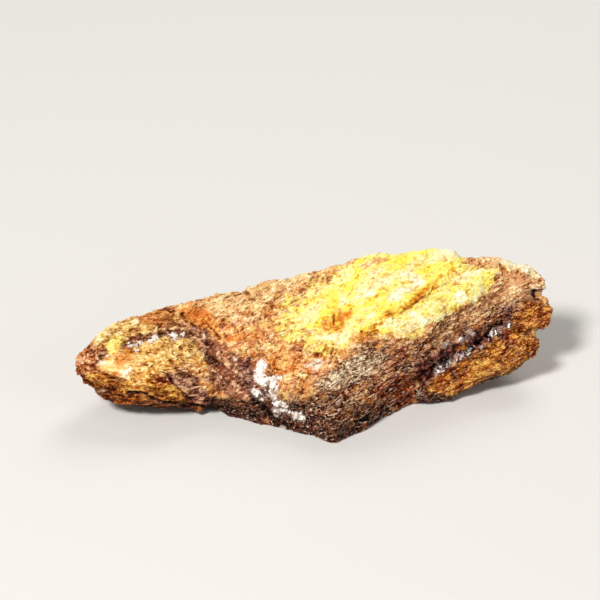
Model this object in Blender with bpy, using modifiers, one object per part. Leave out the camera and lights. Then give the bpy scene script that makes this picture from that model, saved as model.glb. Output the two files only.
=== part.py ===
"""A mimetite specimen: a long block of iron-stained, bedded rock with a crust of
yellow mimetite on its upper face and white crystals in its hollows and seam.

The stone is a loft through lengthwise lines, joined to the beds that stick out at
its right end, weathered with noise and cut flat where it rests. The crust and the
crystals are thin solids that follow the stone's surface and stand just clear of it.

Sizes here are in millimetres: x along the stone, y from its near side to its back,
z up from the surface it rests on. The finished objects are in metres.
"""

import math
import random

import bmesh
import bpy
import numpy as np
from mathutils import Matrix, Vector, noise
from mathutils.bvhtree import BVHTree

MM = 0.001

# The stone's lengthwise lines, left tip to right end, as (x, y, z).
CREST = [
    (-48.1, -4.9, 10.5), (-46.2, -5.2, 12.7), (-43.5, -2.6, 15.5), (-40.9, -1.2, 16.5),
    (-35.0, 0.8, 17.2), (-30.3, 2.3, 18.2), (-25.1, 4.1, 18.8), (-15.2, 5.9, 19.9),
    (-9.2, 7.6, 21.3), (2.0, 10.5, 22.4), (6.5, 11.9, 23.4), (9.1, 12.9, 24.4),
    (14.2, 13.6, 24.7), (15.8, 13.0, 24.2), (26.2, 14.0, 25.4), (29.5, 13.2, 23.6),
    (37.5, 14.7, 23.0), (39.1, 14.3, 22.0), (43.6, 14.5, 20.3), (45.4, 13.0, 16.8),
]
TOP = [
    (-48.1, -6.0, 10.3), (-46.1, -7.3, 12.0), (-40.7, -6.8, 14.0), (-34.8, -5.7, 14.0),
    (-30.0, -6.8, 13.5), (-24.9, -3.2, 12.5), (-22.2, -2.0, 11.8), (-17.1, -3.7, 14.0),
    (-9.1, -4.3, 15.5), (-3.1, -4.0, 16.5), (2.9, 0.5, 18.5), (10.1, 1.0, 20.5),
    (16.9, 1.0, 20.5), (23.1, 4.2, 21.0), (29.4, 9.4, 21.5), (37.3, 12.3, 22.0),
    (42.9, 13.3, 19.6), (45.4, 12.6, 16.6),
]
SHOULDER = [
    (-48.1, -7.1, 9.5), (-43.2, -10.1, 9.0), (-36.8, -12.3, 8.5), (-29.8, -13.0, 8.5),
    (-23.9, -11.1, 8.0), (-19.9, -9.4, 6.5), (-15.1, -9.7, 5.0), (-10.3, -11.8, 3.5),
    (-6.1, -14.5, 3.8), (-2.1, -15.0, 6.5), (2.8, -11.6, 12.5), (9.9, -8.7, 16.5),
    (16.7, -7.0, 15.5), (20.8, -5.7, 15.2), (24.1, -1.7, 17.0), (29.1, 2.9, 18.0),
    (34.2, 7.8, 18.7), (41.7, 12.0, 18.6), (45.4, 12.0, 16.0),
]
FACE = [
    (-48.1, -7.3, 8.8), (-36.5, -12.5, 6.0), (-29.5, -13.0, 5.5), (-20.5, -10.5, 4.0),
    (-12.5, -12.5, 2.5), (-5.5, -14.5, 2.5), (-0.5, -17.0, 3.5), (3.6, -18.2, 5.5),
    (7.4, -15.5, 8.0), (10.0, -12.5, 9.5), (17.0, -8.3, 8.5), (23.0, -3.6, 9.7),
    (29.1, -0.7, 11.5), (35.3, 3.4, 14.0), (42.0, 10.2, 16.4), (45.4, 11.8, 15.4),
]
SEAM = [
    (-48.1, -7.3, 8.2), (-36.5, -12.0, 4.0), (-20.5, -9.0, 2.5), (-5.5, -14.5, 1.2),
    (3.6, -20.0, 2.5), (10.0, -14.5, 4.5), (17.0, -6.5, 6.5), (23.0, -0.5, 8.0),
    (29.1, 2.5, 9.5), (35.3, 6.5, 12.0), (42.0, 10.5, 14.6), (45.4, 12.0, 14.6),
]
FOOT = [
    (-48.1, -7.0, 7.8), (-45.2, -9.0, 6.0), (-40.2, -11.2, 3.5), (-32.7, -10.6, 2.5),
    (-24.3, -11.5, 2.0), (-20.0, -8.2, 1.0), (-15.5, -11.5, -1.2), (-7.1, -14.8, -1.2),
    (-1.3, -16.1, -1.2), (3.6, -20.2, -1.2), (7.4, -17.3, -1.2), (10.0, -14.4, -1.2),
    (16.6, -8.0, -1.2), (20.5, -3.0, -1.2), (29.5, 1.5, 0.0), (37.5, 5.5, 3.0),
    (45.4, 11.6, 13.0),
]
KEEL = [
    (-48.1, -5.2, 8.0), (-41.0, -3.0, 4.2), (-30.0, -1.5, 1.6), (-21.0, 0.0, -1.2),
    (28.0, 7.0, -1.2), (37.0, 9.5, 3.5), (45.4, 12.6, 12.8),
]
BACK_FOOT = [
    (-48.1, -4.2, 8.4), (-38.0, 3.0, 4.6), (-27.0, 7.0, 2.2), (-18.0, 9.5, -1.2),
    (0.0, 14.5, -1.2), (16.0, 17.5, -1.2), (26.0, 16.0, 0.2), (38.0, 17.0, 5.5),
    (45.4, 13.6, 13.4),
]
BACK = [
    (-48.1, -4.2, 9.4), (-40.0, 2.0, 10.5), (-28.0, 7.0, 11.0), (-17.0, 10.5, 9.0),
    (-6.0, 12.5, 12.5), (8.0, 17.5, 12.0), (20.0, 19.5, 14.0), (31.0, 18.0, 12.5),
    (40.0, 18.0, 13.5), (45.4, 14.2, 14.8),
]
LINES = [CREST, TOP, SHOULDER, FACE, SEAM, FOOT, KEEL, BACK_FOOT, BACK]
STATION_STEP = 2.0

# Beds that reach out past the main block on the right, as the corners of their hulls.
LOWER_BED = [
    (19.0, -6.6, 4.5), (24.1, -4.4, 5.5), (30.2, -1.5, 7.5), (37.5, 2.9, 10.5),
    (40.6, 4.0, 11.5), (43.6, 3.7, 11.0), (20.5, -5.2, 1.0), (22.5, -6.3, 1.0),
    (25.7, -6.0, 1.5), (30.3, -2.6, 2.0), (38.2, 0.6, 3.5), (42.9, 1.8, 5.5),
    (45.9, 1.4, 7.8), (46.2, 2.0, 9.4), (20.0, 6.0, 0.5), (32.0, 11.0, 1.5),
    (41.0, 11.5, 5.0), (44.0, 9.0, 9.5), (24.0, 5.0, 6.5), (36.0, 9.0, 9.5),
    (46.2, 3.0, 9.4), (25.8, -5.6, 0.6), (22.0, -5.8, 0.0),
]
MIDDLE_BED = [
    (37.0, 8.5, 16.0), (43.5, 9.7, 15.5), (48.5, 8.6, 14.2), (48.3, 6.6, 11.9),
    (46.0, 5.6, 11.2), (43.0, 5.0, 11.4), (37.5, 5.0, 12.2), (47.8, 12.0, 13.2),
    (44.0, 14.0, 11.5), (38.0, 13.0, 12.0), (47.6, 10.2, 15.0),
]
UPPER_BED = [
    (37.5, 14.7, 22.6), (40.0, 15.0, 21.8), (44.4, 15.3, 19.8), (45.7, 13.7, 19.4),
    (47.5, 12.1, 17.6), (47.9, 11.9, 16.8), (46.3, 11.4, 16.4), (41.9, 11.3, 18.6),
    (37.5, 10.2, 19.2), (37.0, 9.4, 17.0), (42.0, 10.6, 16.6), (45.4, 15.6, 17.2),
    (38.0, 17.0, 17.0), (46.6, 13.6, 16.4),
]
BEDS = [LOWER_BED, MIDDLE_BED, UPPER_BED]

# The rock is merged into one body, softened, grown a little and weathered with lumps
# and chips, then cut flat where it rests.
REMESH_VOXEL = 0.9
SMOOTHING_PASSES = 3
GROWTH = 0.3
LUMP_SIZE, LUMP_HEIGHT = 7.0, 0.55
CHIP_SIZE, CHIP_HEIGHT = 3.2, 0.3
STONE_TRIANGLES = 6000
BASE_HEIGHT = 0.0

# The crusts and crystal groups are laid out on a plane that faces a viewer in front of
# the stone: across is x, and up leans back by this angle.
VIEW_ELEVATION = math.radians(30)

# Outlines of the crusts on that plane, as (across, up).
CRUSTS = {
    "mimetite_crust": [
        (-5.3, 14.7), (-3.1, 16.4), (-0.7, 18.2), (0.9, 20.1), (2.9, 22.1), (4.9, 23.6),
        (7.3, 25.2), (9.3, 26.2), (13.9, 26.6), (16.9, 26.6), (19.7, 27.1), (22.9, 27.6),
        (25.7, 27.8), (28.1, 26.6), (28.9, 25.2), (27.3, 24.2), (25.5, 23.1),
        (23.3, 21.2), (21.7, 20.1), (19.3, 18.2), (16.5, 16.6), (14.1, 15.1),
        (12.1, 13.7), (9.7, 12.2), (6.9, 10.4), (4.5, 9.1), (1.3, 9.1), (-0.3, 10.2),
        (-0.7, 11.7), (-3.1, 12.8),
    ],
    "mimetite_crust_front": [
        (14.5, 13.7), (16.9, 15.2), (19.3, 16.6), (21.7, 18.1), (23.7, 19.8),
        (25.3, 20.9), (27.3, 22.2), (29.3, 23.2), (31.3, 24.4), (33.5, 24.9),
        (35.7, 24.4), (36.1, 22.6), (35.3, 21.1), (33.7, 19.4), (31.1, 18.1),
        (28.9, 16.6), (26.5, 15.8), (24.3, 14.4), (22.9, 13.2), (20.1, 12.4),
        (17.7, 11.4), (15.3, 11.1), (13.1, 11.4), (12.5, 12.7),
    ],
    "mimetite_patch_left": [
        (-41.1, 8.8), (-40.5, 10.4), (-39.3, 11.4), (-37.7, 11.2), (-37.1, 10.1),
        (-38.1, 9.1), (-39.5, 8.2), (-40.7, 7.7),
    ],
}
# Crusts and crystals stand this far off the stone, because touching solids need a gap.
CRUST_GAP = 0.3
CRUST_THICKNESS = 0.7
PRISM_REACH = 60.0
WELD = 1e-4

# Crystal groups: where crystals stand on that plane, as (across, up, radius).
CRYSTALS = {
    "white_crystals_centre": [
        (-11.6, 4.6, 0.9), (-10.8, 5.3, 0.9), (-10.7, 3.7, 1.0), (-11.7, 2.9, 1.0),
        (-10.4, 2.4, 1.1), (-9.2, 2.7, 1.0), (-8.0, 2.6, 0.7), (-10.2, 1.3, 1.1),
        (-8.9, 1.2, 1.0), (-8.6, 0.2, 0.9), (-9.5, 0.3, 0.9), (-8.7, -0.9, 0.8),
    ],
    "white_crystals_centre_left": [
        (-12.3, 0.2, 0.8), (-11.5, -0.1, 0.9), (-11.2, -1.0, 0.8),
    ],
    "white_crystals_lower": [
        (-7.9, -2.4, 0.8), (-7.1, -2.5, 0.8), (-6.4, -3.3, 0.8), (-5.5, -3.5, 0.7),
    ],
    "white_crystals_foot": [
        (-4.8, -5.0, 0.7), (-4.1, -5.0, 0.8), (-3.2, -5.1, 0.8), (-2.6, -5.5, 0.6),
    ],
    "white_crystals_left": [
        (-37.0, 8.9, 0.6), (-36.1, 9.1, 0.7), (-35.0, 9.5, 0.7), (-34.1, 9.8, 0.7),
        (-33.2, 10.2, 0.7), (-32.3, 10.7, 0.8),
    ],
    "white_crystals_left_upper": [
        (-29.0, 11.3, 0.7), (-28.2, 11.4, 0.8), (-27.9, 10.6, 0.7), (-27.1, 11.4, 0.8),
    ],
    "white_crystals_seam": [
        (23.6, 3.4, 0.7), (24.4, 4.0, 0.8), (25.4, 4.4, 0.8), (26.4, 5.1, 0.8),
        (27.4, 5.7, 0.8), (28.4, 6.1, 0.8), (29.5, 6.7, 0.8), (30.4, 7.3, 0.6),
    ],
    "white_crystals_seam_right": [
        (34.6, 11.1, 0.7), (35.4, 11.5, 0.8), (36.3, 11.8, 0.8), (37.0, 12.1, 0.6),
    ],
}
CRYSTAL_FLATNESS = 0.75
CRYSTAL_LEAN = 0.5
CRYSTAL_RISE = 0.3

# Each material's colour and roughness.
ROCK_LOOK = ((0.38, 0.17, 0.06, 1.0), 0.85)
MIMETITE_LOOK = ((0.85, 0.66, 0.06, 1.0), 0.6)
CRYSTAL_LOOK = ((0.83, 0.80, 0.80, 1.0), 0.35)


def line_at(line, x):
    """The (y, z) of a lengthwise line at x."""
    xs, ys, zs = np.array(line).T
    return np.interp(x, xs, ys), np.interp(x, xs, zs)


def add_loft(mesh):
    """The main block: a ring of points at each station, bridged to the next."""
    first, last = CREST[0][0], CREST[-1][0]
    stations = np.linspace(first, last, round((last - first) / STATION_STEP) + 1)
    rings = []
    for x in stations:
        rings.append([mesh.verts.new((x, *line_at(line, x))) for line in LINES])
    for ring, following in zip(rings, rings[1:]):
        for i in range(len(LINES)):
            j = (i + 1) % len(LINES)
            mesh.faces.new((ring[i], ring[j], following[j], following[i]))
    mesh.faces.new(list(reversed(rings[0])))
    mesh.faces.new(rings[-1])


def add_bed(mesh, corners):
    """A bed of rock as the hull of its corners."""
    made = [mesh.verts.new(corner) for corner in corners]
    hull = bmesh.ops.convex_hull(mesh, input=made)
    inner = [v for v in hull["geom_interior"] if isinstance(v, bmesh.types.BMVert)]
    bmesh.ops.delete(mesh, geom=inner, context="VERTS")


def object_from(mesh, name):
    """A new object holding the bmesh, which is freed."""
    data = bpy.data.meshes.new(name)
    mesh.to_mesh(data)
    mesh.free()
    made = bpy.data.objects.new(name, data)
    bpy.context.scene.collection.objects.link(made)
    return made


def apply_modifiers(obj):
    """Replaces the object's mesh by the one its modifiers make."""
    graph = bpy.context.evaluated_depsgraph_get()
    made = bpy.data.meshes.new_from_object(obj.evaluated_get(graph))
    obj.modifiers.clear()
    made.name = obj.name
    obj.data = made


def edited(obj, edit):
    """Runs edit(mesh) on the object's mesh."""
    mesh = bmesh.new()
    mesh.from_mesh(obj.data)
    mesh.normal_update()
    edit(mesh)
    mesh.to_mesh(obj.data)
    mesh.free()


def weather(mesh):
    """Softens the surface, then moves it in and out by lumps and chips."""
    for _ in range(SMOOTHING_PASSES):
        bmesh.ops.smooth_vert(mesh, verts=mesh.verts, factor=0.5,
                              use_axis_x=True, use_axis_y=True, use_axis_z=True)
    mesh.normal_update()
    for vert in mesh.verts:
        lump = noise.fractal(vert.co / LUMP_SIZE, 0.8, 2.0, 3)
        chip = noise.noise(vert.co / CHIP_SIZE + Vector((31, 7, 11)))
        height = GROWTH + lump * LUMP_HEIGHT + chip * CHIP_HEIGHT
        vert.co += vert.normal * height


def cut_base(mesh):
    """Cuts the stone flat where it rests and closes the cut."""
    everything = mesh.verts[:] + mesh.edges[:] + mesh.faces[:]
    cut = bmesh.ops.bisect_plane(mesh, geom=everything, dist=1e-4,
                                 plane_co=(0, 0, BASE_HEIGHT), plane_no=(0, 0, -1),
                                 clear_outer=True)
    rim = [e for e in cut["geom_cut"] if isinstance(e, bmesh.types.BMEdge)]
    base = bmesh.ops.edgenet_fill(mesh, edges=rim)["faces"]
    bmesh.ops.triangulate(mesh, faces=base)


def build_stone():
    """The whole stone: the block and its beds as one weathered body."""
    mesh = bmesh.new()
    add_loft(mesh)
    for corners in BEDS:
        add_bed(mesh, corners)
    bmesh.ops.recalc_face_normals(mesh, faces=mesh.faces)
    stone = object_from(mesh, "matrix_rock")
    remesh = stone.modifiers.new("one body", "REMESH")
    remesh.mode = "VOXEL"
    remesh.voxel_size = REMESH_VOXEL
    apply_modifiers(stone)
    edited(stone, weather)
    decimate = stone.modifiers.new("fewer faces", "DECIMATE")
    decimate.ratio = STONE_TRIANGLES / (2 * len(stone.data.polygons))
    apply_modifiers(stone)
    edited(stone, cut_base)
    return stone


def grown(stone, distance):
    """A copy of the stone with its surface moved outwards."""
    copy = stone.copy()
    copy.data = stone.data.copy()
    bpy.context.scene.collection.objects.link(copy)
    copy.name = "stone grown by " + str(distance)

    def grow(mesh):
        for vert in mesh.verts:
            vert.co += vert.normal * distance
    edited(copy, grow)
    return copy


def keep_part(obj, measure):
    """Keeps only the connected part of the object with the greatest measure."""
    def keep(mesh):
        left = set(mesh.verts)
        parts = []
        while left:
            part, border = set(), [left.pop()]
            while border:
                vert = border.pop()
                part.add(vert)
                for edge in vert.link_edges:
                    other = edge.other_vert(vert)
                    if other in left:
                        left.discard(other)
                        border.append(other)
            parts.append(part)
        parts.sort(key=measure)
        for part in parts[:-1]:
            bmesh.ops.delete(mesh, geom=list(part), context="VERTS")
    edited(obj, keep)


def boolean(obj, other, operation):
    """Cuts the object by another, or keeps what they share."""
    step = obj.modifiers.new(operation.lower(), "BOOLEAN")
    step.operation = operation
    step.solver = "EXACT"
    step.use_self = True
    step.object = other
    apply_modifiers(obj)


def layout_turn():
    """Turns x and y of a flat drawing into across and up of the layout plane."""
    return Matrix.Rotation(math.radians(90) - VIEW_ELEVATION, 4, "X")


def outline_prism(name, outline):
    """A prism through the whole stone, from an outline on the layout plane."""
    curve = bpy.data.curves.new(name, "CURVE")
    curve.dimensions = "2D"
    curve.fill_mode = "BOTH"
    curve.extrude = PRISM_REACH
    spline = curve.splines.new("POLY")
    spline.points.add(len(outline) - 1)
    for point, (across, up) in zip(spline.points, outline):
        point.co = (across, up, 0, 1)
    spline.use_cyclic_u = True
    drawn = bpy.data.objects.new(name, curve)
    bpy.context.scene.collection.objects.link(drawn)
    graph = bpy.context.evaluated_depsgraph_get()
    mesh = bmesh.new()
    mesh.from_mesh(bpy.data.meshes.new_from_object(drawn.evaluated_get(graph)))
    bpy.data.objects.remove(drawn)
    bmesh.ops.remove_doubles(mesh, verts=mesh.verts, dist=WELD)
    mesh.transform(layout_turn())
    bmesh.ops.recalc_face_normals(mesh, faces=mesh.faces)
    return object_from(mesh, name)


def build_crust(name, outline, shell, core):
    """A crust that follows the stone: its outline's prism between two grown stones."""
    crust = outline_prism(name, outline)
    boolean(crust, shell, "INTERSECT")
    boolean(crust, core, "DIFFERENCE")
    toward = layout_turn() @ Vector((0, 0, 1))
    keep_part(crust, lambda part: max(vert.co.dot(toward) for vert in part))
    return crust


def build_crystals(name, sites, stone_tree, core):
    """Six-sided tablets standing on the stone, grown into one group."""
    mesh = bmesh.new()
    chance = random.Random(name)
    toward = layout_turn() @ Vector((0, 0, 1))
    for across, up, radius in sites:
        above = layout_turn() @ Vector((across, up, PRISM_REACH))
        place, normal = stone_tree.ray_cast(above, -toward)[:2]
        lean = Vector([chance.uniform(-1, 1) for _ in range(3)]) * CRYSTAL_LEAN
        turn = (normal + lean).to_track_quat("Z", "X").to_matrix().to_4x4()
        spin = Matrix.Rotation(chance.uniform(0, math.tau), 4, "Z")
        height = 2 * radius * CRYSTAL_FLATNESS * chance.uniform(0.9, 1.2)
        lift = CRUST_GAP + CRYSTAL_RISE * height
        centre = Matrix.Translation(place + normal * lift)
        bmesh.ops.create_cone(mesh, cap_ends=True, segments=6, radius1=radius,
                              radius2=radius * chance.uniform(0.75, 1.0),
                              depth=height, matrix=centre @ turn @ spin)
    crystals = object_from(mesh, name)
    boolean(crystals, core, "DIFFERENCE")
    keep_part(crystals, len)
    return crystals


def give_material(obj, look):
    """A plain Principled material of the object's own."""
    colour, roughness = look
    material = bpy.data.materials.new(obj.name)
    material.use_nodes = True
    surface = material.node_tree.nodes["Principled BSDF"]
    surface.inputs["Base Color"].default_value = colour
    surface.inputs["Roughness"].default_value = roughness
    surface.inputs["Metallic"].default_value = 0.0
    material.diffuse_color = colour
    obj.data.materials.clear()
    obj.data.materials.append(material)


def settle(pieces):
    """Puts the middle of the specimen's footprint at the origin, in metres."""
    places = np.array([vert.co for piece in pieces for vert in piece.data.vertices])
    middle = (places.min(axis=0) + places.max(axis=0)) / 2
    shift = Matrix.Translation((-middle[0], -middle[1], -BASE_HEIGHT))
    for piece in pieces:
        piece.data.transform(Matrix.Scale(MM, 4) @ shift)


for old in list(bpy.data.objects):
    bpy.data.objects.remove(old)
stone = build_stone()
shell = grown(stone, CRUST_GAP + CRUST_THICKNESS)
core = grown(stone, CRUST_GAP)
stone_tree = BVHTree.FromObject(stone, bpy.context.evaluated_depsgraph_get())
give_material(stone, ROCK_LOOK)

pieces = [stone]
for name, outline in CRUSTS.items():
    crust = build_crust(name, outline, shell, core)
    give_material(crust, MIMETITE_LOOK)
    pieces.append(crust)
for name, sites in CRYSTALS.items():
    crystals = build_crystals(name, sites, stone_tree, core)
    give_material(crystals, CRYSTAL_LOOK)
    pieces.append(crystals)
for helper in (shell, core):
    bpy.data.objects.remove(helper)
settle(pieces)

specimen = bpy.data.collections.new("mimetite specimen")
bpy.context.scene.collection.children.link(specimen)
for piece in pieces:
    bpy.context.scene.collection.objects.unlink(piece)
    specimen.objects.link(piece)
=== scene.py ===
import math
import random
from functools import partial

import bmesh
import bpy
import numpy as np
from mathutils import Matrix, Vector, noise
from mathutils.bvhtree import BVHTree


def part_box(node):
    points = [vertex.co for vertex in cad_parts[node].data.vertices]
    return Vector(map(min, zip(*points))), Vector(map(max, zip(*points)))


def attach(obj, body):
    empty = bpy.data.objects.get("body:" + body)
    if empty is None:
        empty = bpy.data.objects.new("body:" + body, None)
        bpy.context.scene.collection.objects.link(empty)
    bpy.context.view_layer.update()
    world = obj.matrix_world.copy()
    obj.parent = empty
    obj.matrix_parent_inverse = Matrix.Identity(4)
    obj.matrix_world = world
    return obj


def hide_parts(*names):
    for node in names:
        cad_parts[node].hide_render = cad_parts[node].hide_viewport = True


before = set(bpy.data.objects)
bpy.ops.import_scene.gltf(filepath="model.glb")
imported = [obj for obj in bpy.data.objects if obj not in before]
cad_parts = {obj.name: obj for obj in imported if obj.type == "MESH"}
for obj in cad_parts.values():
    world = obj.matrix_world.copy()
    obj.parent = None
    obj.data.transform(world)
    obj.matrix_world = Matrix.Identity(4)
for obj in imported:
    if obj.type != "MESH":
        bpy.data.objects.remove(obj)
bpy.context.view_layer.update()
MM = 0.001


# The viewing place. The stone is seen from in front and above, through a long lens, and
# is centred a little below the middle of the frame.
VIEW_ELEVATION = math.radians(30)
VIEW_DISTANCE = 500 * MM
LENS = 150
FILM_WIDTH = 36
AIM = Vector((-3.316, 0.801, 20.8)) * MM
TOWARD = Vector((0, -math.cos(VIEW_ELEVATION), math.sin(VIEW_ELEVATION)))
UPWARD = Vector((0, math.sin(VIEW_ELEVATION), math.cos(VIEW_ELEVATION)))

lens = bpy.data.cameras.new("camera")
lens.lens = LENS
lens.sensor_width = FILM_WIDTH
lens.clip_start = 10 * MM
camera = bpy.data.objects.new("camera", lens)
bpy.context.scene.collection.objects.link(camera)
camera.location = AIM + TOWARD * VIEW_DISTANCE
camera.rotation_euler = (math.radians(90) - VIEW_ELEVATION, 0, 0)
bpy.context.scene.camera = camera


# The floor and the light. A pale floor, one strong soft lamp above and to the left of the
# viewer, a weak one on the right, another behind, and an even warm grey surround.
FLOOR_SIZE = 4.0
FLOOR_DROP = 0.02 * MM
FLOOR_PAINT = (226, 225, 222)
FLOOR_ROUGHNESS = 0.7
LAMPS = {
    # name: (place, side of the lamp, watts, colour)
    "key": ((-0.50, -0.66, 0.90), 0.26, 15.0, (1.0, 0.98, 0.95)),
    "fill": ((0.90, -0.55, 0.45), 0.60, 2.0, (1.0, 0.95, 0.88)),
    "back": ((0.25, 0.80, 0.70), 0.50, 4.0, (1.0, 0.98, 0.96)),
}
SURROUND = (0.82, 0.79, 0.75)
SURROUND_STRENGTH = 0.22


def rgb(red, green, blue):
    """A screen colour, 0 to 255, as the light it stands for."""
    shares = [value / 255 for value in (red, green, blue)]
    linear = [s / 12.92 if s <= 0.04045 else ((s + 0.055) / 1.055) ** 2.4
              for s in shares]
    return (*linear, 1.0)


def new_material(name):
    """An empty node material with its Principled shader."""
    material = bpy.data.materials.new(name)
    material.use_nodes = True
    return material, material.node_tree, material.node_tree.nodes["Principled BSDF"]


for name, (place, side, watts, colour) in LAMPS.items():
    light = bpy.data.lights.new(name, "AREA")
    light.size = side
    light.energy = watts
    light.color = colour
    lamp = bpy.data.objects.new(name, light)
    lamp.location = place
    lamp.rotation_mode = "QUATERNION"
    lamp.rotation_quaternion = (Vector(place) - AIM).to_track_quat("Z", "Y")
    bpy.context.scene.collection.objects.link(lamp)

surround = bpy.data.worlds.new("surround")
surround.use_nodes = True
sky = surround.node_tree.nodes["Background"]
sky.inputs["Color"].default_value = (*SURROUND, 1)
sky.inputs["Strength"].default_value = SURROUND_STRENGTH
bpy.context.scene.world = surround
bpy.context.scene.view_settings.view_transform = "Standard"

ground = bmesh.new()
bmesh.ops.create_grid(ground, x_segments=1, y_segments=1, size=FLOOR_SIZE / 2)
bmesh.ops.translate(ground, verts=ground.verts, vec=(0, 0, -FLOOR_DROP))
floor_mesh = bpy.data.meshes.new("floor")
ground.to_mesh(floor_mesh)
ground.free()
floor = bpy.data.objects.new("floor", floor_mesh)
bpy.context.scene.collection.objects.link(floor)
material, tree, surface = new_material("floor_paint")
surface.inputs["Base Color"].default_value = rgb(*FLOOR_PAINT)
surface.inputs["Roughness"].default_value = FLOOR_ROUGHNESS
floor_mesh.materials.append(material)


# The stone. One long block of gossan: granular, iron-stained rock, orange in front, ochre
# on its left knob, brown and bedded on its right side, with dark purple-brown seams. It
# broke along its beds, so ledges run up its side to the three beds at its right end.
STONE_VOXEL = 0.33 * MM
SOFTENING = 5  # times that the steps of the voxels are smoothed
MERGED = 0.001 * MM
PAST_BOX = np.array((1.2, 0.4, 0.5)) * MM  # as far as the relief may go past the CAD
FOOT = 0.12 * MM  # what is lower than this rests flat on the floor
FACET_SEED = 5
ALONG_BEDS = Vector((0.813, 0.543, 0.206)).normalized()
OFF_BEDS = (Vector((0, 0, 1)) - ALONG_BEDS * ALONG_BEDS.z).normalized()
IN_BEDS = ALONG_BEDS.cross(OFF_BEDS)

# Places on the stone's front are points on a plane that faces the viewer, in millimetres
# across and up. First the outlines of areas on the knob.
KNOB = [(-50.1, 6.8), (-46.5, 9.0), (-43.7, 12.4), (-41.2, 14.2), (-35.3, 16.2),
        (-30.5, 17.8), (-28.7, 16.8), (-27.8, 13.4), (-24.2, 12.4), (-22.4, 9.4),
        (-22.1, 4.0), (-20.8, 0.9), (-20.5, -1.9), (-23.3, -4.8), (-33.3, -4.3),
        (-41.2, -3.9), (-50.1, 2.0)]
KNOB_TOP = [(-44.7, 10.6), (-43.1, 12.8), (-40.7, 13.8), (-36.1, 13.8), (-33.1, 13.2),
            (-30.1, 13.0), (-28.7, 12.6), (-31.1, 11.8), (-35.1, 11.8), (-37.5, 11.4),
            (-40.7, 11.6), (-42.3, 10.0), (-43.9, 9.2)]
KNOB_TIP = [(-48.9, 6.2), (-47.1, 8.2), (-44.7, 9.6), (-42.7, 9.2), (-42.3, 7.8),
            (-43.5, 5.8), (-45.1, 3.8), (-47.9, 4.2)]
KNOB_GOLD = [(-35.9, 8.5), (-33.2, 10.0), (-29.6, 10.6), (-26.3, 10.0), (-24.2, 9.2),
             (-24.7, 7.4), (-22.5, 6.8), (-21.7, 4.0), (-20.4, 1.3), (-22.4, 2.1),
             (-24.8, 4.1), (-28.0, 5.3), (-30.3, 4.5), (-33.0, 3.0), (-33.4, 1.4),
             (-36.6, 0.6), (-39.4, 2.6), (-43.4, 3.3), (-45.5, 5.3), (-42.2, 6.9),
             (-38.7, 8.1)]
KNOB_SHEEN = [(-35.1, 9.2), (-33.1, 10.4), (-30.1, 10.8), (-27.1, 10.4), (-24.7, 9.6),
              (-23.5, 8.2), (-23.9, 6.6), (-26.1, 6.2), (-28.7, 6.8), (-31.1, 7.0),
              (-33.5, 6.2), (-35.1, 5.8), (-37.5, 4.6), (-39.5, 5.2), (-38.7, 6.6),
              (-36.7, 7.8)]
KNOB_GLOW = [(-43.1, 5.8), (-41.5, 7.8), (-39.5, 8.2), (-37.5, 7.0), (-34.5, 7.8),
             (-33.1, 6.2), (-33.9, 4.2), (-35.5, 2.2), (-37.5, 3.0), (-40.1, 3.8),
             (-42.3, 3.8)]
KNOB_WARM = [(-40.1, 7.6), (-38.0, 7.9), (-36.4, 7.2), (-37.2, 5.8), (-39.2, 5.0),
             (-40.2, 5.6)]
KNOB_ORANGE = [(-26.5, 5.8), (-23.9, 5.8), (-22.3, 4.2), (-21.5, 1.8), (-22.1, 0.2),
               (-23.9, 1.8), (-25.5, 3.4), (-27.1, 4.6)]
KNOB_TAN = [(-35.6, 14.8), (-33.5, 16.0), (-30.4, 16.2), (-28.8, 15.0), (-29.8, 13.8),
            (-32.9, 13.4), (-35.1, 14.0)]
TAN_END = [(-31.1, 15.4), (-29.7, 15.8), (-28.5, 15.0), (-29.3, 13.8), (-31.3, 13.6)]
KNOB_MAUVE = [(-31.1, 12.6), (-28.1, 13.8), (-25.1, 13.2), (-22.1, 12.2), (-20.1, 10.6),
              (-22.1, 10.0), (-25.1, 10.8), (-28.1, 11.2), (-30.5, 11.4)]
KNOB_DARK = [(-48.5, 4.0), (-44.7, 2.5), (-40.6, 3.1), (-37.0, 0.2), (-33.0, 1.0),
             (-30.0, 0.2), (-26.2, -0.7), (-22.9, -2.3), (-23.7, -4.8), (-33.3, -4.3),
             (-41.2, -3.9), (-49.3, 1.2)]
KNOB_WHITES = [
    [(-43.0, 6.0), (-41.9, 6.4), (-41.1, 5.5), (-40.8, 4.2), (-41.6, 3.5), (-42.0, 4.6)],
    [(-39.0, 4.2), (-38.1, 5.1), (-36.8, 5.4), (-36.2, 4.6), (-37.3, 4.1), (-38.1, 3.5)],
]
KNOB_CREAM_LOW = [(-38.7, 4.2), (-37.9, 4.4), (-37.3, 5.3), (-36.8, 4.8), (-37.5, 4.0),
                  (-38.4, 3.8)]
LEMON = [(-42.1, 9.3), (-41.2, 10.8), (-39.9, 11.8), (-38.2, 11.4), (-38.0, 10.3),
         (-39.3, 9.1), (-40.9, 8.3)]

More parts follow.
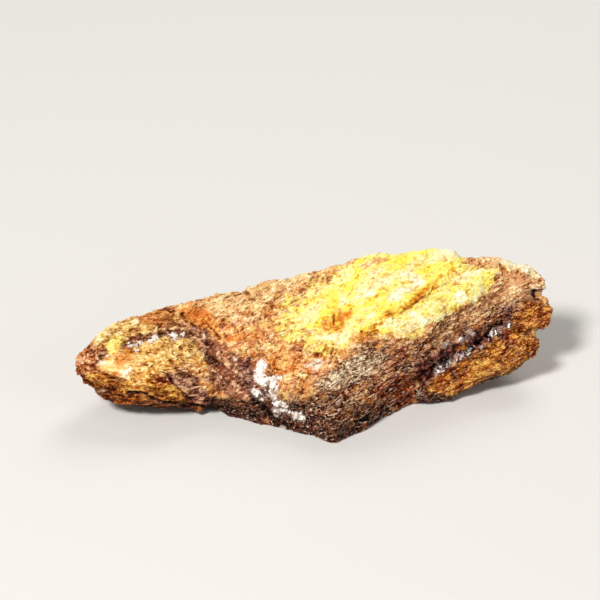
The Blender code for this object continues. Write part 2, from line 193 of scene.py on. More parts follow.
# Areas of the orange face, and of the valley between it and the knob.
FACE_CREST = [(-25.1, 17.6), (-20.1, 19.4), (-13.1, 21.6), (-6.1, 24.2), (-0.7, 26.4),
              (0.5, 24.2), (-3.1, 21.2), (-9.1, 18.6), (-16.1, 16.6), (-22.1, 15.2)]
STRONG_ORANGE = [(-27.8, 16.8), (-23.5, 17.2), (-21.0, 15.2), (-18.9, 12.4),
                 (-15.3, 10.0), (-16.9, 9.6), (-20.6, 10.8), (-24.2, 12.8),
                 (-26.6, 14.4)]
FACE_WARM = [
    [(-5.1, 11.4), (-2.5, 11.0), (-2.1, 9.4), (-4.7, 8.8), (-5.9, 10.0)],
    [(-9.5, 7.8), (-6.1, 8.2), (-2.7, 7.2), (-3.1, 5.0), (-6.3, 3.4), (-9.5, 4.6)],
]
FACE_CREAM = [(-2.3, 5.6), (-1.3, 5.6), (-0.5, 6.4), (0.4, 6.8), (0.8, 6.2), (0.4, 5.3),
              (-0.1, 4.6), (-0.6, 4.8), (-0.8, 5.3), (-1.7, 5.3)]
VALLEY = [(-25.8, 12.8), (-22.6, 12.4), (-20.6, 10.4), (-18.1, 9.4), (-16.1, 8.0),
          (-14.7, 5.6), (-12.9, 4.1), (-12.5, 1.7), (-10.9, -1.5), (-8.1, -3.8),
          (-4.1, -6.1), (-1.3, -8.9), (-6.3, -8.6), (-10.9, -7.5), (-14.5, -6.0),
          (-16.9, -1.9), (-18.9, 0.1), (-21.2, 1.7), (-21.9, 4.8), (-22.8, 8.0),
          (-24.2, 9.8)]
PURPLE_PATCH = [(-29.5, 4.1), (-27.5, 4.5), (-25.6, 3.9), (-23.6, 2.5), (-21.6, 0.1),
                (-20.9, -1.5), (-23.6, -1.9), (-25.6, -1.1), (-27.1, 1.0), (-28.7, 2.6)]
CENTRE_PURPLE = [(-15.5, 6.4), (-13.3, 6.6), (-11.7, 5.3), (-12.5, 3.3), (-10.9, 1.3),
                 (-9.3, -0.3), (-10.5, -1.9), (-12.9, -1.5), (-14.1, 0.9), (-15.3, 3.7)]
FRONT_DARK = [(-22.2, -1.1), (-17.3, -1.9), (-13.7, -2.3), (-11.3, -0.7), (-8.9, 0.1),
              (-6.3, -1.4), (-3.3, -1.0), (0.2, 0.3), (3.6, 0.5), (6.5, -1.3),
              (11.0, -2.4), (15.1, -2.4), (17.2, -4.5), (9.8, -8.6), (3.4, -11.1),
              (-1.5, -9.3), (-7.3, -8.6), (-13.1, -7.5), (-19.0, -4.9)]
FOOT_DARK = [(-22.1, -0.9), (-18.1, -1.3), (-14.1, -2.1), (-10.7, -1.3), (-8.1, -2.7),
             (-4.7, -2.1), (-2.1, -4.1), (1.9, -5.3), (5.9, -6.7), (9.9, -5.3),
             (13.9, -3.3), (15.9, -4.1), (11.9, -7.3), (6.9, -9.7), (3.9, -11.3),
             (-0.1, -9.9), (-5.1, -8.5), (-11.1, -7.3), (-17.1, -5.3), (-22.1, -3.9)]
PALE_SPECKS = [
    [(-7.6, -6.8), (-7.1, -6.7), (-6.2, -7.1), (-6.5, -7.3), (-7.3, -7.1)],
    [(-16.7, 7.1), (-16.1, 6.9), (-15.9, 6.3), (-16.2, 6.1), (-16.6, 6.6)],
    [(-22.9, 11.5), (-22.6, 11.8), (-22.3, 11.1), (-22.7, 10.7)],
    [(-43.7, 0.3), (-42.7, 0.6), (-42.1, 0.5), (-42.6, 0.2), (-43.5, 0.1)],
]

# Areas of the bedded side, of its seam and of the beds below and behind that.
SIDE = [(-2.7, -2.9), (-0.4, 1.6), (3.6, 5.4), (7.0, 8.5), (9.7, 10.3), (17.1, 10.3),
        (20.6, 10.3), (23.2, 13.2), (29.1, 17.0), (34.0, 20.0), (38.4, 22.5),
        (42.0, 21.7), (47.5, 21.3), (46.8, 19.2), (42.4, 18.8), (39.4, 15.2),
        (35.4, 13.1), (30.6, 11.2), (24.8, 9.2), (21.1, 7.2), (19.1, 4.0),
        (20.3, -1.3), (16.8, -4.5), (9.8, -8.6), (3.4, -11.1), (-0.9, -9.3)]
SIDE_GREY = [(0.2, 1.8), (2.6, 4.2), (5.6, 6.2), (8.9, 8.1), (12.5, 8.5), (14.1, 6.9),
             (10.9, 4.2), (6.5, 1.8), (3.6, 0.3), (1.0, 0.3)]
SIDE_RED = [(10.9, 0.2), (14.2, 2.5), (17.4, 4.1), (20.2, 2.7), (20.5, -1.3),
            (18.0, -4.2), (15.1, -2.8), (12.6, -1.9)]
SIDE_LIGHT = [(22.9, 11.2), (26.9, 14.6), (30.9, 18.2), (34.9, 20.6), (38.9, 22.2),
              (41.9, 21.2), (40.9, 19.2), (37.9, 17.2), (34.9, 15.2), (30.9, 13.8),
              (26.9, 11.6), (23.9, 9.2)]
SEAM_RIGHT = [(19.4, 6.4), (23.9, 8.6), (27.2, 10.0), (31.0, 11.8), (35.4, 13.1),
              (38.2, 15.2), (39.9, 17.4), (42.4, 19.0), (43.7, 20.5), (46.0, 20.3),
              (45.7, 18.4), (42.4, 17.8), (40.2, 14.8), (39.0, 13.1), (36.5, 10.9),
              (33.4, 8.5), (30.2, 7.1), (26.5, 4.7), (23.7, 2.9), (21.6, 2.5),
              (19.3, 4.0)]
SEAM_ORANGE = [(27.7, 9.2), (29.3, 10.2), (30.9, 10.1), (29.9, 9.2), (28.5, 8.8)]
RIM_FROST = [
    [(25.1, 9.9), (26.6, 10.5), (27.3, 10.2), (26.6, 9.7), (25.5, 9.4)],
    [(27.3, 10.3), (28.3, 10.9), (29.7, 11.4), (30.6, 11.9), (31.0, 12.0), (29.7, 11.0),
     (28.5, 10.4)],
]
NODULE = [(20.0, 5.4), (21.6, 5.8), (23.2, 5.0), (23.9, 3.4), (23.5, 1.8), (22.0, 0.8),
          (20.6, 0.2), (19.6, 1.4), (19.4, 3.6)]
LOBE = [(20.0, 0.7), (21.6, 2.3), (26.5, 4.5), (30.2, 6.7), (33.4, 8.1), (36.5, 10.5),
        (39.8, 13.9), (43.8, 12.3), (47.0, 9.9), (47.0, 7.1), (43.4, 4.6), (37.8, 2.2),
        (30.1, -0.6), (25.6, -2.8), (21.5, -3.4), (19.9, -1.3)]
LOBE_DARK = [(19.8, 0.1), (24.1, -0.9), (27.4, -1.0), (24.9, -3.0), (21.3, -3.4)]
MIDDLE = [(39.8, 14.8), (41.5, 17.6), (43.6, 18.2), (45.9, 18.0), (49.0, 17.6),
          (48.9, 13.5), (46.6, 11.9), (40.4, 12.7)]

# Areas of the upper face.
YELLOW = [(-7.1, 14.8), (-5.3, 17.6), (-2.3, 19.2), (0.3, 21.6), (2.8, 23.3),
          (5.8, 24.9), (9.3, 26.1), (14.0, 26.9), (17.1, 28.2), (26.0, 29.8),
          (29.7, 28.2), (31.3, 26.2), (34.6, 25.7), (37.5, 24.9), (37.4, 22.5),
          (34.4, 19.2), (30.1, 16.8), (26.4, 15.2), (23.5, 13.2), (20.6, 11.2),
          (16.5, 10.3), (12.5, 11.3), (9.0, 11.7), (6.6, 10.1), (3.8, 8.5), (0.7, 8.7),
          (-1.7, 10.9), (-5.3, 11.6)]
HOLLOW = [(-0.1, 12.8), (1.1, 14.2), (2.7, 15.2), (4.7, 16.4), (6.1, 15.8),
          (5.5, 13.6), (4.3, 12.2), (1.9, 12.2)]
BETWEEN = [(7.0, 10.5), (9.0, 12.5), (11.0, 14.8), (13.4, 15.2), (13.8, 13.2),
           (12.6, 11.7), (10.1, 10.9)]
PINK = [(28.5, 27.8), (32.4, 28.0), (37.6, 28.6), (39.2, 26.2), (37.0, 25.1),
        (33.3, 25.5), (30.0, 24.5), (27.5, 23.3)]
RIM = [(37.5, 26.2), (39.3, 27.4), (43.9, 26.6), (46.3, 24.2), (45.9, 22.1),
       (43.3, 22.5), (41.5, 24.5), (38.7, 25.1)]
SALMON = [(35.3, 21.7), (38.5, 24.1), (42.1, 24.5), (44.1, 22.5), (47.9, 21.7),
          (48.3, 20.1), (43.7, 19.6), (39.9, 18.0), (36.1, 17.6)]

# Open lines: seams, cracks, creases and notches.
SEAM_LEFT = [(-43.1, 7.7), (-40.7, 8.5), (-38.7, 9.7), (-36.4, 10.3), (-34.0, 10.8),
             (-31.7, 11.6), (-29.7, 11.8), (-27.3, 11.6), (-24.8, 11.2), (-22.8, 10.4),
             (-20.8, 9.2)]
SEAM_RIM = [(20.7, 6.8), (23.1, 8.0), (26.2, 9.8), (28.9, 11.0), (30.6, 11.6)]
VALLEY_DARK = [(-22.8, 8.4), (-20.5, 6.0), (-18.1, 4.4), (-15.7, 2.5), (-13.7, 0.9),
               (-11.7, -1.9), (-9.3, -4.3)]
GROOVE = [(13.0, 14.8), (15.8, 16.2), (17.9, 17.2), (19.9, 18.6), (21.6, 20.2),
          (23.3, 21.4), (25.4, 23.1), (27.5, 24.5)]
RED_LINE = [(16.6, 15.6), (17.9, 16.6), (19.6, 17.7), (21.6, 19.0)]
HAIRLINE = [(3.6, 15.6), (3.5, 13.6)]
CREVICE = [(-37.4, 0.0), (-34.0, -0.2), (-32.5, -1.4), (-30.1, -1.8), (-27.2, -2.1),
           (-24.9, -2.5), (-22.1, -2.8), (-18.9, -3.2)]
CREVICE_ABOVE = [(-29.5, 3.7), (-28.3, 2.2), (-26.9, 0.2), (-25.4, -1.5)]
FACE_CRACK = [(8.6, 10.5), (10.1, 9.3), (11.7, 8.1), (12.9, 6.5)]
FACE_LINES = [[(-27.1, 15.8), (-25.9, 14.2)], [(-25.1, 13.8), (-23.7, 12.6)],
              [(-22.3, 13.8), (-21.1, 12.6)], [(-20.7, 12.2), (-19.5, 10.8)]]
KNOB_CREASES = [[(-46.1, 7.9), (-43.5, 8.5), (-40.5, 8.1)], [(-29.0, 6.3), (-27.1, 4.3)],
                [(-44.1, 4.6), (-40.9, 3.2), (-38.1, 2.6)]]
NOTCH_UPPER = [(47.6, 19.9), (44.6, 19.9)]
NOTCH_LOWER = [(45.2, 11.7), (41.0, 12.5)]
TRIMMED = [
    # (line where the outline steps in, width, depth in millimetres)
    ([(-39.5, 14.4), (-36.5, 15.6), (-33.5, 16.4)], 1.6, 0.7),
    ([(28.5, -0.9), (32.5, 0.6), (36.0, 2.0), (39.6, 3.8), (42.2, 5.4)], 1.5, 0.6),
    ([(44.4, 24.2), (45.5, 22.6)], 1.2, 0.6),
    ([(45.4, 19.2), (47.6, 17.8)], 1.2, 1.0),
    ([(-24.0, 18.6), (-19.0, 20.0)], 1.4, 0.4),
    ([(-15.5, 22.2), (-12.5, 23.4), (-9.0, 23.8)], 1.4, 0.5),
    ([(-7.5, 24.6), (-2.5, 26.4)], 1.4, 0.5),
]

# Outlines of the white crystal patches, on the same plane.
WHITE_PATCHES = {
    "white_crystals_centre": [
        [(-11.9, 5.8), (-11.4, 6.4), (-10.9, 6.5), (-10.1, 5.9), (-9.9, 4.8),
         (-10.6, 4.0), (-10.1, 3.4), (-9.6, 3.0), (-8.9, 3.3), (-8.2, 3.2), (-7.1, 3.3),
         (-6.5, 3.5), (-6.7, 3.0), (-7.4, 2.5), (-7.8, 2.3), (-7.8, 1.8), (-7.6, 0.8),
         (-8.2, 0.0), (-7.9, -1.3), (-8.6, -1.5), (-9.4, -0.6), (-10.1, 0.0),
         (-10.3, 1.2), (-11.5, 1.9), (-12.3, 2.5), (-12.5, 3.3), (-12.2, 3.7),
         (-12.6, 4.2), (-12.1, 4.7)],
    ],
    "white_crystals_centre_left": [
        [(-13.0, 0.5), (-12.5, 0.8), (-11.5, 0.4), (-10.5, -1.0), (-10.7, -1.5),
         (-11.7, -1.3), (-12.5, -0.5), (-12.9, 0.0)],
    ],
    "white_crystals_lower": [
        [(-8.8, -2.1), (-7.8, -1.7), (-6.8, -1.6), (-5.9, -2.4), (-5.6, -2.8),
         (-6.7, -2.9), (-8.0, -2.7)],
        [(-7.7, -3.2), (-6.5, -3.2), (-5.1, -3.5), (-5.2, -3.9), (-6.5, -3.8),
         (-7.5, -3.6)],
        [(-8.9, -3.8), (-8.4, -3.3), (-7.8, -3.4), (-7.7, -4.3), (-8.2, -4.6),
         (-8.6, -4.3)],
    ],
    "white_crystals_foot": [
        [(-5.5, -4.3), (-4.8, -3.9), (-4.0, -3.7), (-3.5, -4.0), (-3.1, -3.7),
         (-3.0, -4.3), (-2.3, -4.6), (-2.5, -5.2), (-3.5, -5.5), (-4.3, -5.2),
         (-4.9, -4.7)],
    ],
    "white_crystals_left": [
        [(-33.5, 10.4), (-33.0, 11.1), (-32.4, 11.4), (-31.6, 11.2), (-31.8, 10.7),
         (-32.3, 10.2), (-32.8, 10.0), (-33.3, 10.0)],
        [(-37.7, 9.5), (-37.3, 10.0), (-36.9, 9.5), (-36.0, 9.7), (-35.3, 10.1),
         (-34.7, 10.0), (-35.1, 9.6), (-36.0, 9.2), (-36.7, 9.1), (-37.4, 9.0)],
        [(-36.3, 8.2), (-35.9, 8.7), (-35.3, 8.8), (-35.4, 8.4), (-36.0, 8.0)],
    ],
    "white_crystals_left_upper": [
        [(-29.6, 11.6), (-28.7, 11.9), (-28.0, 11.5), (-27.6, 11.0), (-27.8, 10.3),
         (-28.4, 10.2), (-28.7, 10.7), (-29.2, 11.1)],
        [(-27.3, 11.7), (-26.9, 12.0), (-26.4, 11.8), (-26.5, 11.2), (-27.1, 11.2)],
    ],
    "white_crystals_seam": [
        [(23.6, 3.3), (24.1, 3.9), (24.9, 4.3), (25.6, 4.3), (25.5, 3.9), (24.5, 3.5),
         (23.9, 3.0)],
        [(24.0, 5.3), (24.7, 5.8), (25.7, 5.3), (25.5, 4.7), (24.7, 4.6), (24.1, 4.9)],
        [(26.6, 5.8), (27.3, 6.0), (27.8, 5.6), (27.5, 5.0), (26.9, 4.7), (26.2, 4.9)],
        [(26.9, 6.4), (28.1, 6.9), (29.1, 7.4), (29.8, 7.1), (29.4, 6.5), (28.1, 6.3),
         (27.3, 6.0)],
        [(29.8, 7.9), (30.7, 8.2), (31.6, 8.1), (31.1, 7.5), (30.3, 7.0), (29.9, 7.4)],
    ],
    "white_crystals_seam_right": [
        [(35.0, 11.6), (35.8, 12.1), (36.9, 12.0), (36.5, 11.3), (35.7, 10.9),
         (35.1, 11.1)],
        [(36.7, 11.6), (37.7, 12.3), (38.7, 13.2), (39.3, 13.9), (39.4, 13.5),
         (38.9, 12.8), (37.9, 12.1), (36.9, 11.4)],
    ],
}


def outside(points, line, closed=False):
    """How far each point on the layout plane is from a line, in millimetres."""
    corners = np.array(line)
    starts = corners if closed else corners[:-1]
    ends = np.roll(corners, -1, axis=0) if closed else corners[1:]
    nearest = np.full(len(points), np.inf)
    for start, end in zip(starts, ends):
        way = end - start
        share = np.clip(((points - start) @ way) / (way @ way), 0, 1)
        gap = np.linalg.norm(points - start - share[:, None] * way, axis=1)
        nearest = np.minimum(nearest, gap)
    return nearest


def inside(points, outline):
    """How far inside an outline each point is, in millimetres; negative outside it."""
    within = np.zeros(len(points), bool)
    across, up = points.T
    for (x1, y1), (x2, y2) in zip(outline, outline[1:] + outline[:1]):
        spans = (y1 > up) != (y2 > up)
        slope = (x2 - x1) / (y2 - y1) if y1 != y2 else 0.0
        within ^= spans & (across < x1 + (up - y1) * slope)
    gap = outside(points, outline, closed=True)
    return np.where(within, gap, -gap)


def ease(low, high, values):
    """0 below low, 1 above high, and a smooth rise between."""
    share = np.clip((values - low) / (high - low), 0, 1)
    return share * share * (3 - 2 * share)


def mottle(places, size, seed, octaves=3):
    """Noise from about -1 to 1 at each place, with lumps of that size in metres."""
    shift = Vector((seed * 7.31, seed * 3.17, seed * 5.53))
    return np.array([noise.fractal(place / size + shift, 1.0, 2.0, octaves)
                     for place in places])


noise.seed_set(FACET_SEED)  # until it is given a seed, noise_vector follows the clock


def chips(places, size, seed):
    """Flat broken facets of that size, each tipped its own way: about -1 to 1."""
    shift = Vector((seed * 4.7, seed * 9.3, seed * 2.9))
    heights = np.empty(len(places))
    for i, place in enumerate(places):
        spot = place / size + shift
        middle = noise.voronoi(spot)[1][0]
        slope = noise.noise_vector(middle * 3.7)
        heights[i] = (spot - middle).dot(slope) * 2 + noise.noise(middle * 5.1)
    return heights


def stretched(places, along, times):
    """Places with the distances along a direction cut, so that noise runs along it."""
    cut = 1 - 1 / times
    return [place - along * (place.dot(along) * cut) for place in places]


def ledges(places, off, spacing, seed):
    """Steps like broken beds: a slow rise, then a sharp drop, 0 to 1."""
    wander = mottle(places, spacing * 5, seed, 2) * 1.6
    count = np.array([place.dot(off) for place in places]) / spacing + wander
    share = count - np.floor(count)
    return share * ease(1.0, 0.78, share)


def neighbour_mean(values, first, second, count):
    """The mean of each vertex's neighbours, for values with one row per vertex."""
    total = np.empty_like(values)
    for column in range(values.shape[1]):
        total[:, column] = (np.bincount(first, values[second, column], len(values))
                            + np.bincount(second, values[first, column], len(values)))
    return total / count[:, None]


def relief_of(mesh, passes):
    """How far each vertex stands above its smoothed surroundings, in millimetres."""
    places = np.empty(len(mesh.vertices) * 3)
    normals = np.empty(len(mesh.vertices) * 3)
    mesh.vertices.foreach_get("co", places)
    mesh.vertices.foreach_get("normal", normals)
    places, normals = places.reshape(-1, 3), normals.reshape(-1, 3)
    ends = np.empty(len(mesh.edges) * 2, int)
    mesh.edges.foreach_get("vertices", ends)
    first, second = ends.reshape(-1, 2).T
    count = np.bincount(first, minlength=len(places)) + np.bincount(
        second, minlength=len(places))
    smooth = places
    for _ in range(passes):
        smooth = neighbour_mean(smooth, first, second, np.maximum(count, 1))
    return ((places - smooth) * normals).sum(axis=1) / MM


def write_colours(mesh, layers):
    """Stores the shade, the body and the bright of every vertex."""
    for name, layer in zip(("shade", "body", "bright"), layers):
        if name not in mesh.attributes:
            mesh.color_attributes.new(name, "FLOAT_COLOR", "POINT")
        mesh.attributes[name].data.foreach_set("color", layer.astype(np.float32).ravel())


def write_values(mesh, name, values):
    """Stores one number per vertex, or one direction."""
    kind, field = ("FLOAT", "value") if values.ndim == 1 else ("FLOAT_VECTOR", "vector")
    layer = mesh.attributes.new(name, kind, "POINT")
    layer.data.foreach_set(field, values.astype(np.float32).ravel())


def object_from(mesh, name):
    """A new object holding the bmesh, which is freed."""
    data = bpy.data.meshes.new(name)
    mesh.to_mesh(data)
    mesh.free()
    made = bpy.data.objects.new(name, data)
    bpy.context.scene.collection.objects.link(made)
    return made


def apply_modifiers(piece):
    """Replaces a piece's mesh by the one its modifiers make."""
    graph = bpy.context.evaluated_depsgraph_get()
    made = bpy.data.meshes.new_from_object(piece.evaluated_get(graph))
    piece.modifiers.clear()
    piece.data = made


mesh = bmesh.new()
mesh.from_mesh(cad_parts["matrix_rock"].data)
bmesh.ops.remove_doubles(mesh, verts=mesh.verts, dist=MERGED)
stone = object_from(mesh, "stone")
remesh = stone.modifiers.new("even grain", "REMESH")
remesh.mode = "VOXEL"
remesh.voxel_size = STONE_VOXEL
remesh.use_smooth_shade = False
apply_modifiers(stone)
mesh = bmesh.new()
mesh.from_mesh(stone.data)
for _ in range(SOFTENING):
    bmesh.ops.smooth_vert(mesh, verts=mesh.verts, factor=0.5,
                          use_axis_x=True, use_axis_y=True, use_axis_z=True)
mesh.normal_update()
mesh.to_mesh(stone.data)
mesh.free()

places = [vert.co.copy() for vert in stone.data.vertices]
spots = np.array(places)
normals = np.array([vert.normal[:] for vert in stone.data.vertices])
layout = np.stack([spots[:, 0], spots @ np.array(UPWARD)], axis=1) / MM
facing = normals @ np.array(TOWARD)
fray = mottle(places, 2.2 * MM, 1) * 0.9 + mottle(places, 0.7 * MM, 2, 2) * 0.4
seen = ease(-0.25, 0.15, facing + fray * 0.15)


def zone(outline, edge=0.5, rough=1.0):
    """How much each vertex belongs to an outlined area, 0 to 1, with a frayed edge."""
    return ease(-edge, edge, inside(layout, outline) + fray * rough) * seen


def cut(line, width, rough=0.3):
    """How much each vertex lies in a cut along a line, 0 to 1."""
    gap = outside(layout, line) + fray * rough
    return ease(width, width * 0.3, gap) * seen


knob = zone(KNOB, 1.2)
side = zone(SIDE, 0.6)
lobe = zone(LOBE, 0.5)
middle_bed = zone(MIDDLE, 0.5)
seam_right = ease(-0.7, 0.1, inside(layout, SEAM_RIGHT) + fray * 0.6) * seen
seam_right *= 1 - 0.75 * ease(39.0, 40.5, layout[:, 0]) * ease(44.2, 42.8, layout[:, 0])
dusty = ease(12, 0, layout[:, 0])
yellow = ease(-0.1, 1.3, inside(layout, YELLOW) + fray * (1.3 + 1.2 * dusty)
              + 1.3 * dusty) * ease(-0.45, 0.1, facing + fray * 0.2)
hollow = zone(HOLLOW, 0.5, 0.6)
valley = zone(VALLEY, 0.7)
front_dark = zone(FRONT_DARK, 1.4)
bed_face = zone(SIDE_LIGHT, 1.0, 1.3)
back = 1 - seen

# Where the rock is drawn out along its beds, and how much each chip and ledge stands out
# there. The knob's beds lie their own way.
KNOB_ALONG = Vector((0.97, -0.22, 0.06)).normalized()
KNOB_OFF = Vector((-0.05, 0.10, 0.99)).normalized()
beds = stretched(places, ALONG_BEDS, 3.2)
flakes = stretched(beds, IN_BEDS, 2.2)
knob_beds = stretched(places, KNOB_ALONG, 3)
knob_flakes = stretched(knob_beds, KNOB_ALONG.cross(KNOB_OFF), 2.5)
bedded = np.clip(side + lobe + middle_bed + 0.7 * back + 0.3 * yellow, 0, 1)
loose = 1 - 0.55 * bedded
broad_chips = 0.45 * chips(places, 5.6 * MM, 3) * loose
knob_rough = knob * (1 - 0.5 * np.maximum(zone(KNOB_SHEEN, 1.0), zone(KNOB_GLOW, 1.0)))
plain = np.clip(1 - 0.5 * bedded - 0.6 * yellow - 0.5 * knob, 0, 1)

# Millimetres that each vertex moves outwards: a height, its pattern and where that shows.
height = (
    broad_chips
    + 0.20 * chips(places, 2.3 * MM, 5) * plain
    + 0.10 * chips(places, 0.9 * MM, 8) * (1 - 0.5 * yellow)
    + 0.42 * (ledges(beds, OFF_BEDS, 3.1 * MM, 11) - 0.35) * bedded
    + 0.20 * chips(flakes, 1.3 * MM, 15) * bedded
    + 0.12 * chips(flakes, 0.6 * MM, 16) * bedded
    + 0.40 * (ledges(knob_beds, KNOB_OFF, 2.4 * MM, 12) - 0.35) * knob
    + 0.30 * chips(knob_flakes, 1.2 * MM, 17) * knob_rough
    + 0.14 * chips(knob_flakes, 0.6 * MM, 18) * knob_rough
    + 0.10 * mottle(places, 0.8 * MM, 19, 3)
    + 0.80 * seam_right * (0.7 + 1.0 * mottle(places, 1.3 * MM, 21, 2))
    - 0.25 * hollow
    + 0.05 * cut(GROOVE, 1.0)
    - 0.50 * cut(SEAM_LEFT, 0.9)
    - 1.00 * cut(CREVICE, 0.50, 0.15)
    - 0.90 * cut(CREVICE_ABOVE, 0.6, 0.15)
    - 0.50 * cut(VALLEY_DARK, 1.0)
    - 0.45 * cut(FACE_CRACK, 0.6)
    - 0.30 * sum(cut(line, 0.30, 0.20) for line in FACE_LINES)
    - 1.80 * cut(NOTCH_UPPER, 0.95, 0.15)
    - 1.50 * cut(NOTCH_LOWER, 1.4, 0.15)
    - sum(depth * cut(line, width, 0.3) for line, width, depth in TRIMMED)
    - 0.35 * sum(cut(line, 0.40, 0.20) for line in KNOB_CREASES)
    - 0.30 * cut(HAIRLINE, 0.3, 0.1)
    + 0.35 * cut(SEAM_RIM, 0.6)
)
moved = spots + normals * height[:, None] * MM
low, high = (np.array(corner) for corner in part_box("matrix_rock"))
moved = np.clip(moved, low - PAST_BOX * (1, 1, 0), high + PAST_BOX)
moved[:, 2] = np.where(moved[:, 2] < FOOT, 0.0, moved[:, 2])
stone.data.vertices.foreach_set("co", moved.ravel())
stone.data.update()

fine_relief = relief_of(stone.data, passes=3)
broad_relief = relief_of(stone.data, passes=24)

# The colours of each kind of rock: its shade, its body and its bright crystals. The tone
# picks among them, and it also carries painted light and shade.
ORANGE = (rgb(92, 38, 15), rgb(220, 144, 83), rgb(255, 236, 176))
SALMON_FACE = (rgb(110, 48, 27), rgb(222, 149, 100), rgb(252, 226, 180))
PEACH = (rgb(118, 66, 36), rgb(236, 190, 130), rgb(255, 246, 194))
STRAW = (rgb(136, 68, 24), rgb(242, 198, 112), rgb(255, 250, 194))
EMBER = (rgb(96, 30, 6), rgb(212, 110, 38), rgb(250, 194, 104))
STRONG = (rgb(96, 32, 4), rgb(216, 112, 34), rgb(252, 202, 102))
GOLD = (rgb(128, 58, 8), rgb(242, 166, 60), rgb(255, 250, 176))
AMBER = (rgb(30, 4, 1), rgb(82, 27, 6), rgb(198, 112, 42))
TAN = (rgb(90, 37, 9), rgb(197, 114, 52), rgb(244, 190, 120))
PURPLE = (rgb(46, 13, 7), rgb(152, 90, 62), rgb(244, 200, 154))
MAUVE = (rgb(32, 7, 6), rgb(107, 56, 46), rgb(222, 174, 146))
BROWN = (rgb(30, 6, 2), rgb(132, 65, 38), rgb(252, 206, 156))
RUSSET = (rgb(38, 6, 1), rgb(130, 44, 16), rgb(232, 152, 88))
SANDY = (rgb(80, 36, 16), rgb(186, 122, 72), rgb(252, 220, 162))
DUSK = (rgb(6, 1, 1), rgb(21, 7, 5), rgb(122, 72, 54))
GREY = (rgb(84, 44, 24), rgb(186, 146, 106), rgb(254, 240, 204))
RED = (rgb(24, 2, 1), rgb(94, 24, 6), rgb(210, 110, 54))
OXBLOOD = (rgb(26, 3, 2), rgb(92, 30, 18), rgb(196, 128, 100))
RED_OXIDE = (rgb(70, 10, 2), rgb(150, 54, 12), rgb(228, 130, 48))
BLACK = (rgb(12, 5, 5), rgb(46, 20, 15), rgb(140, 96, 72))
SEAM = (rgb(20, 3, 2), rgb(60, 15, 12), rgb(170, 106, 90))
HONEY = (rgb(66, 22, 1), rgb(176, 98, 24), rgb(250, 204, 104))
LOBE_OCHRE = (rgb(50, 10, 1), rgb(154, 69, 11), rgb(244, 178, 84))
PALE = (rgb(178, 128, 80), rgb(252, 238, 188), rgb(255, 255, 232))
ROSE = (rgb(130, 68, 38), rgb(226, 160, 107), rgb(255, 242, 190))
LEMON_DUST = (rgb(190, 116, 36), rgb(250, 228, 110), rgb(255, 254, 176))
SAFFRON = (rgb(204, 112, 20), rgb(248, 196, 52), rgb(255, 250, 140))
DEEP_ORANGE = (rgb(120, 42, 2), rgb(216, 124, 18), rgb(250, 204, 66))
GLOW = (rgb(170, 96, 36), rgb(254, 226, 150), rgb(255, 255, 230))
CREAM = (rgb(176, 122, 84), rgb(250, 236, 208), rgb(255, 255, 250))
MILK = (rgb(120, 84, 66), rgb(228, 212, 196), rgb(255, 255, 250))


def blotch(size, seed, low=0.08, high=0.35):
    """Patches of about that size in millimetres, 0 to 1."""
    return ease(low, high, mottle(places, size * MM, seed, 3))


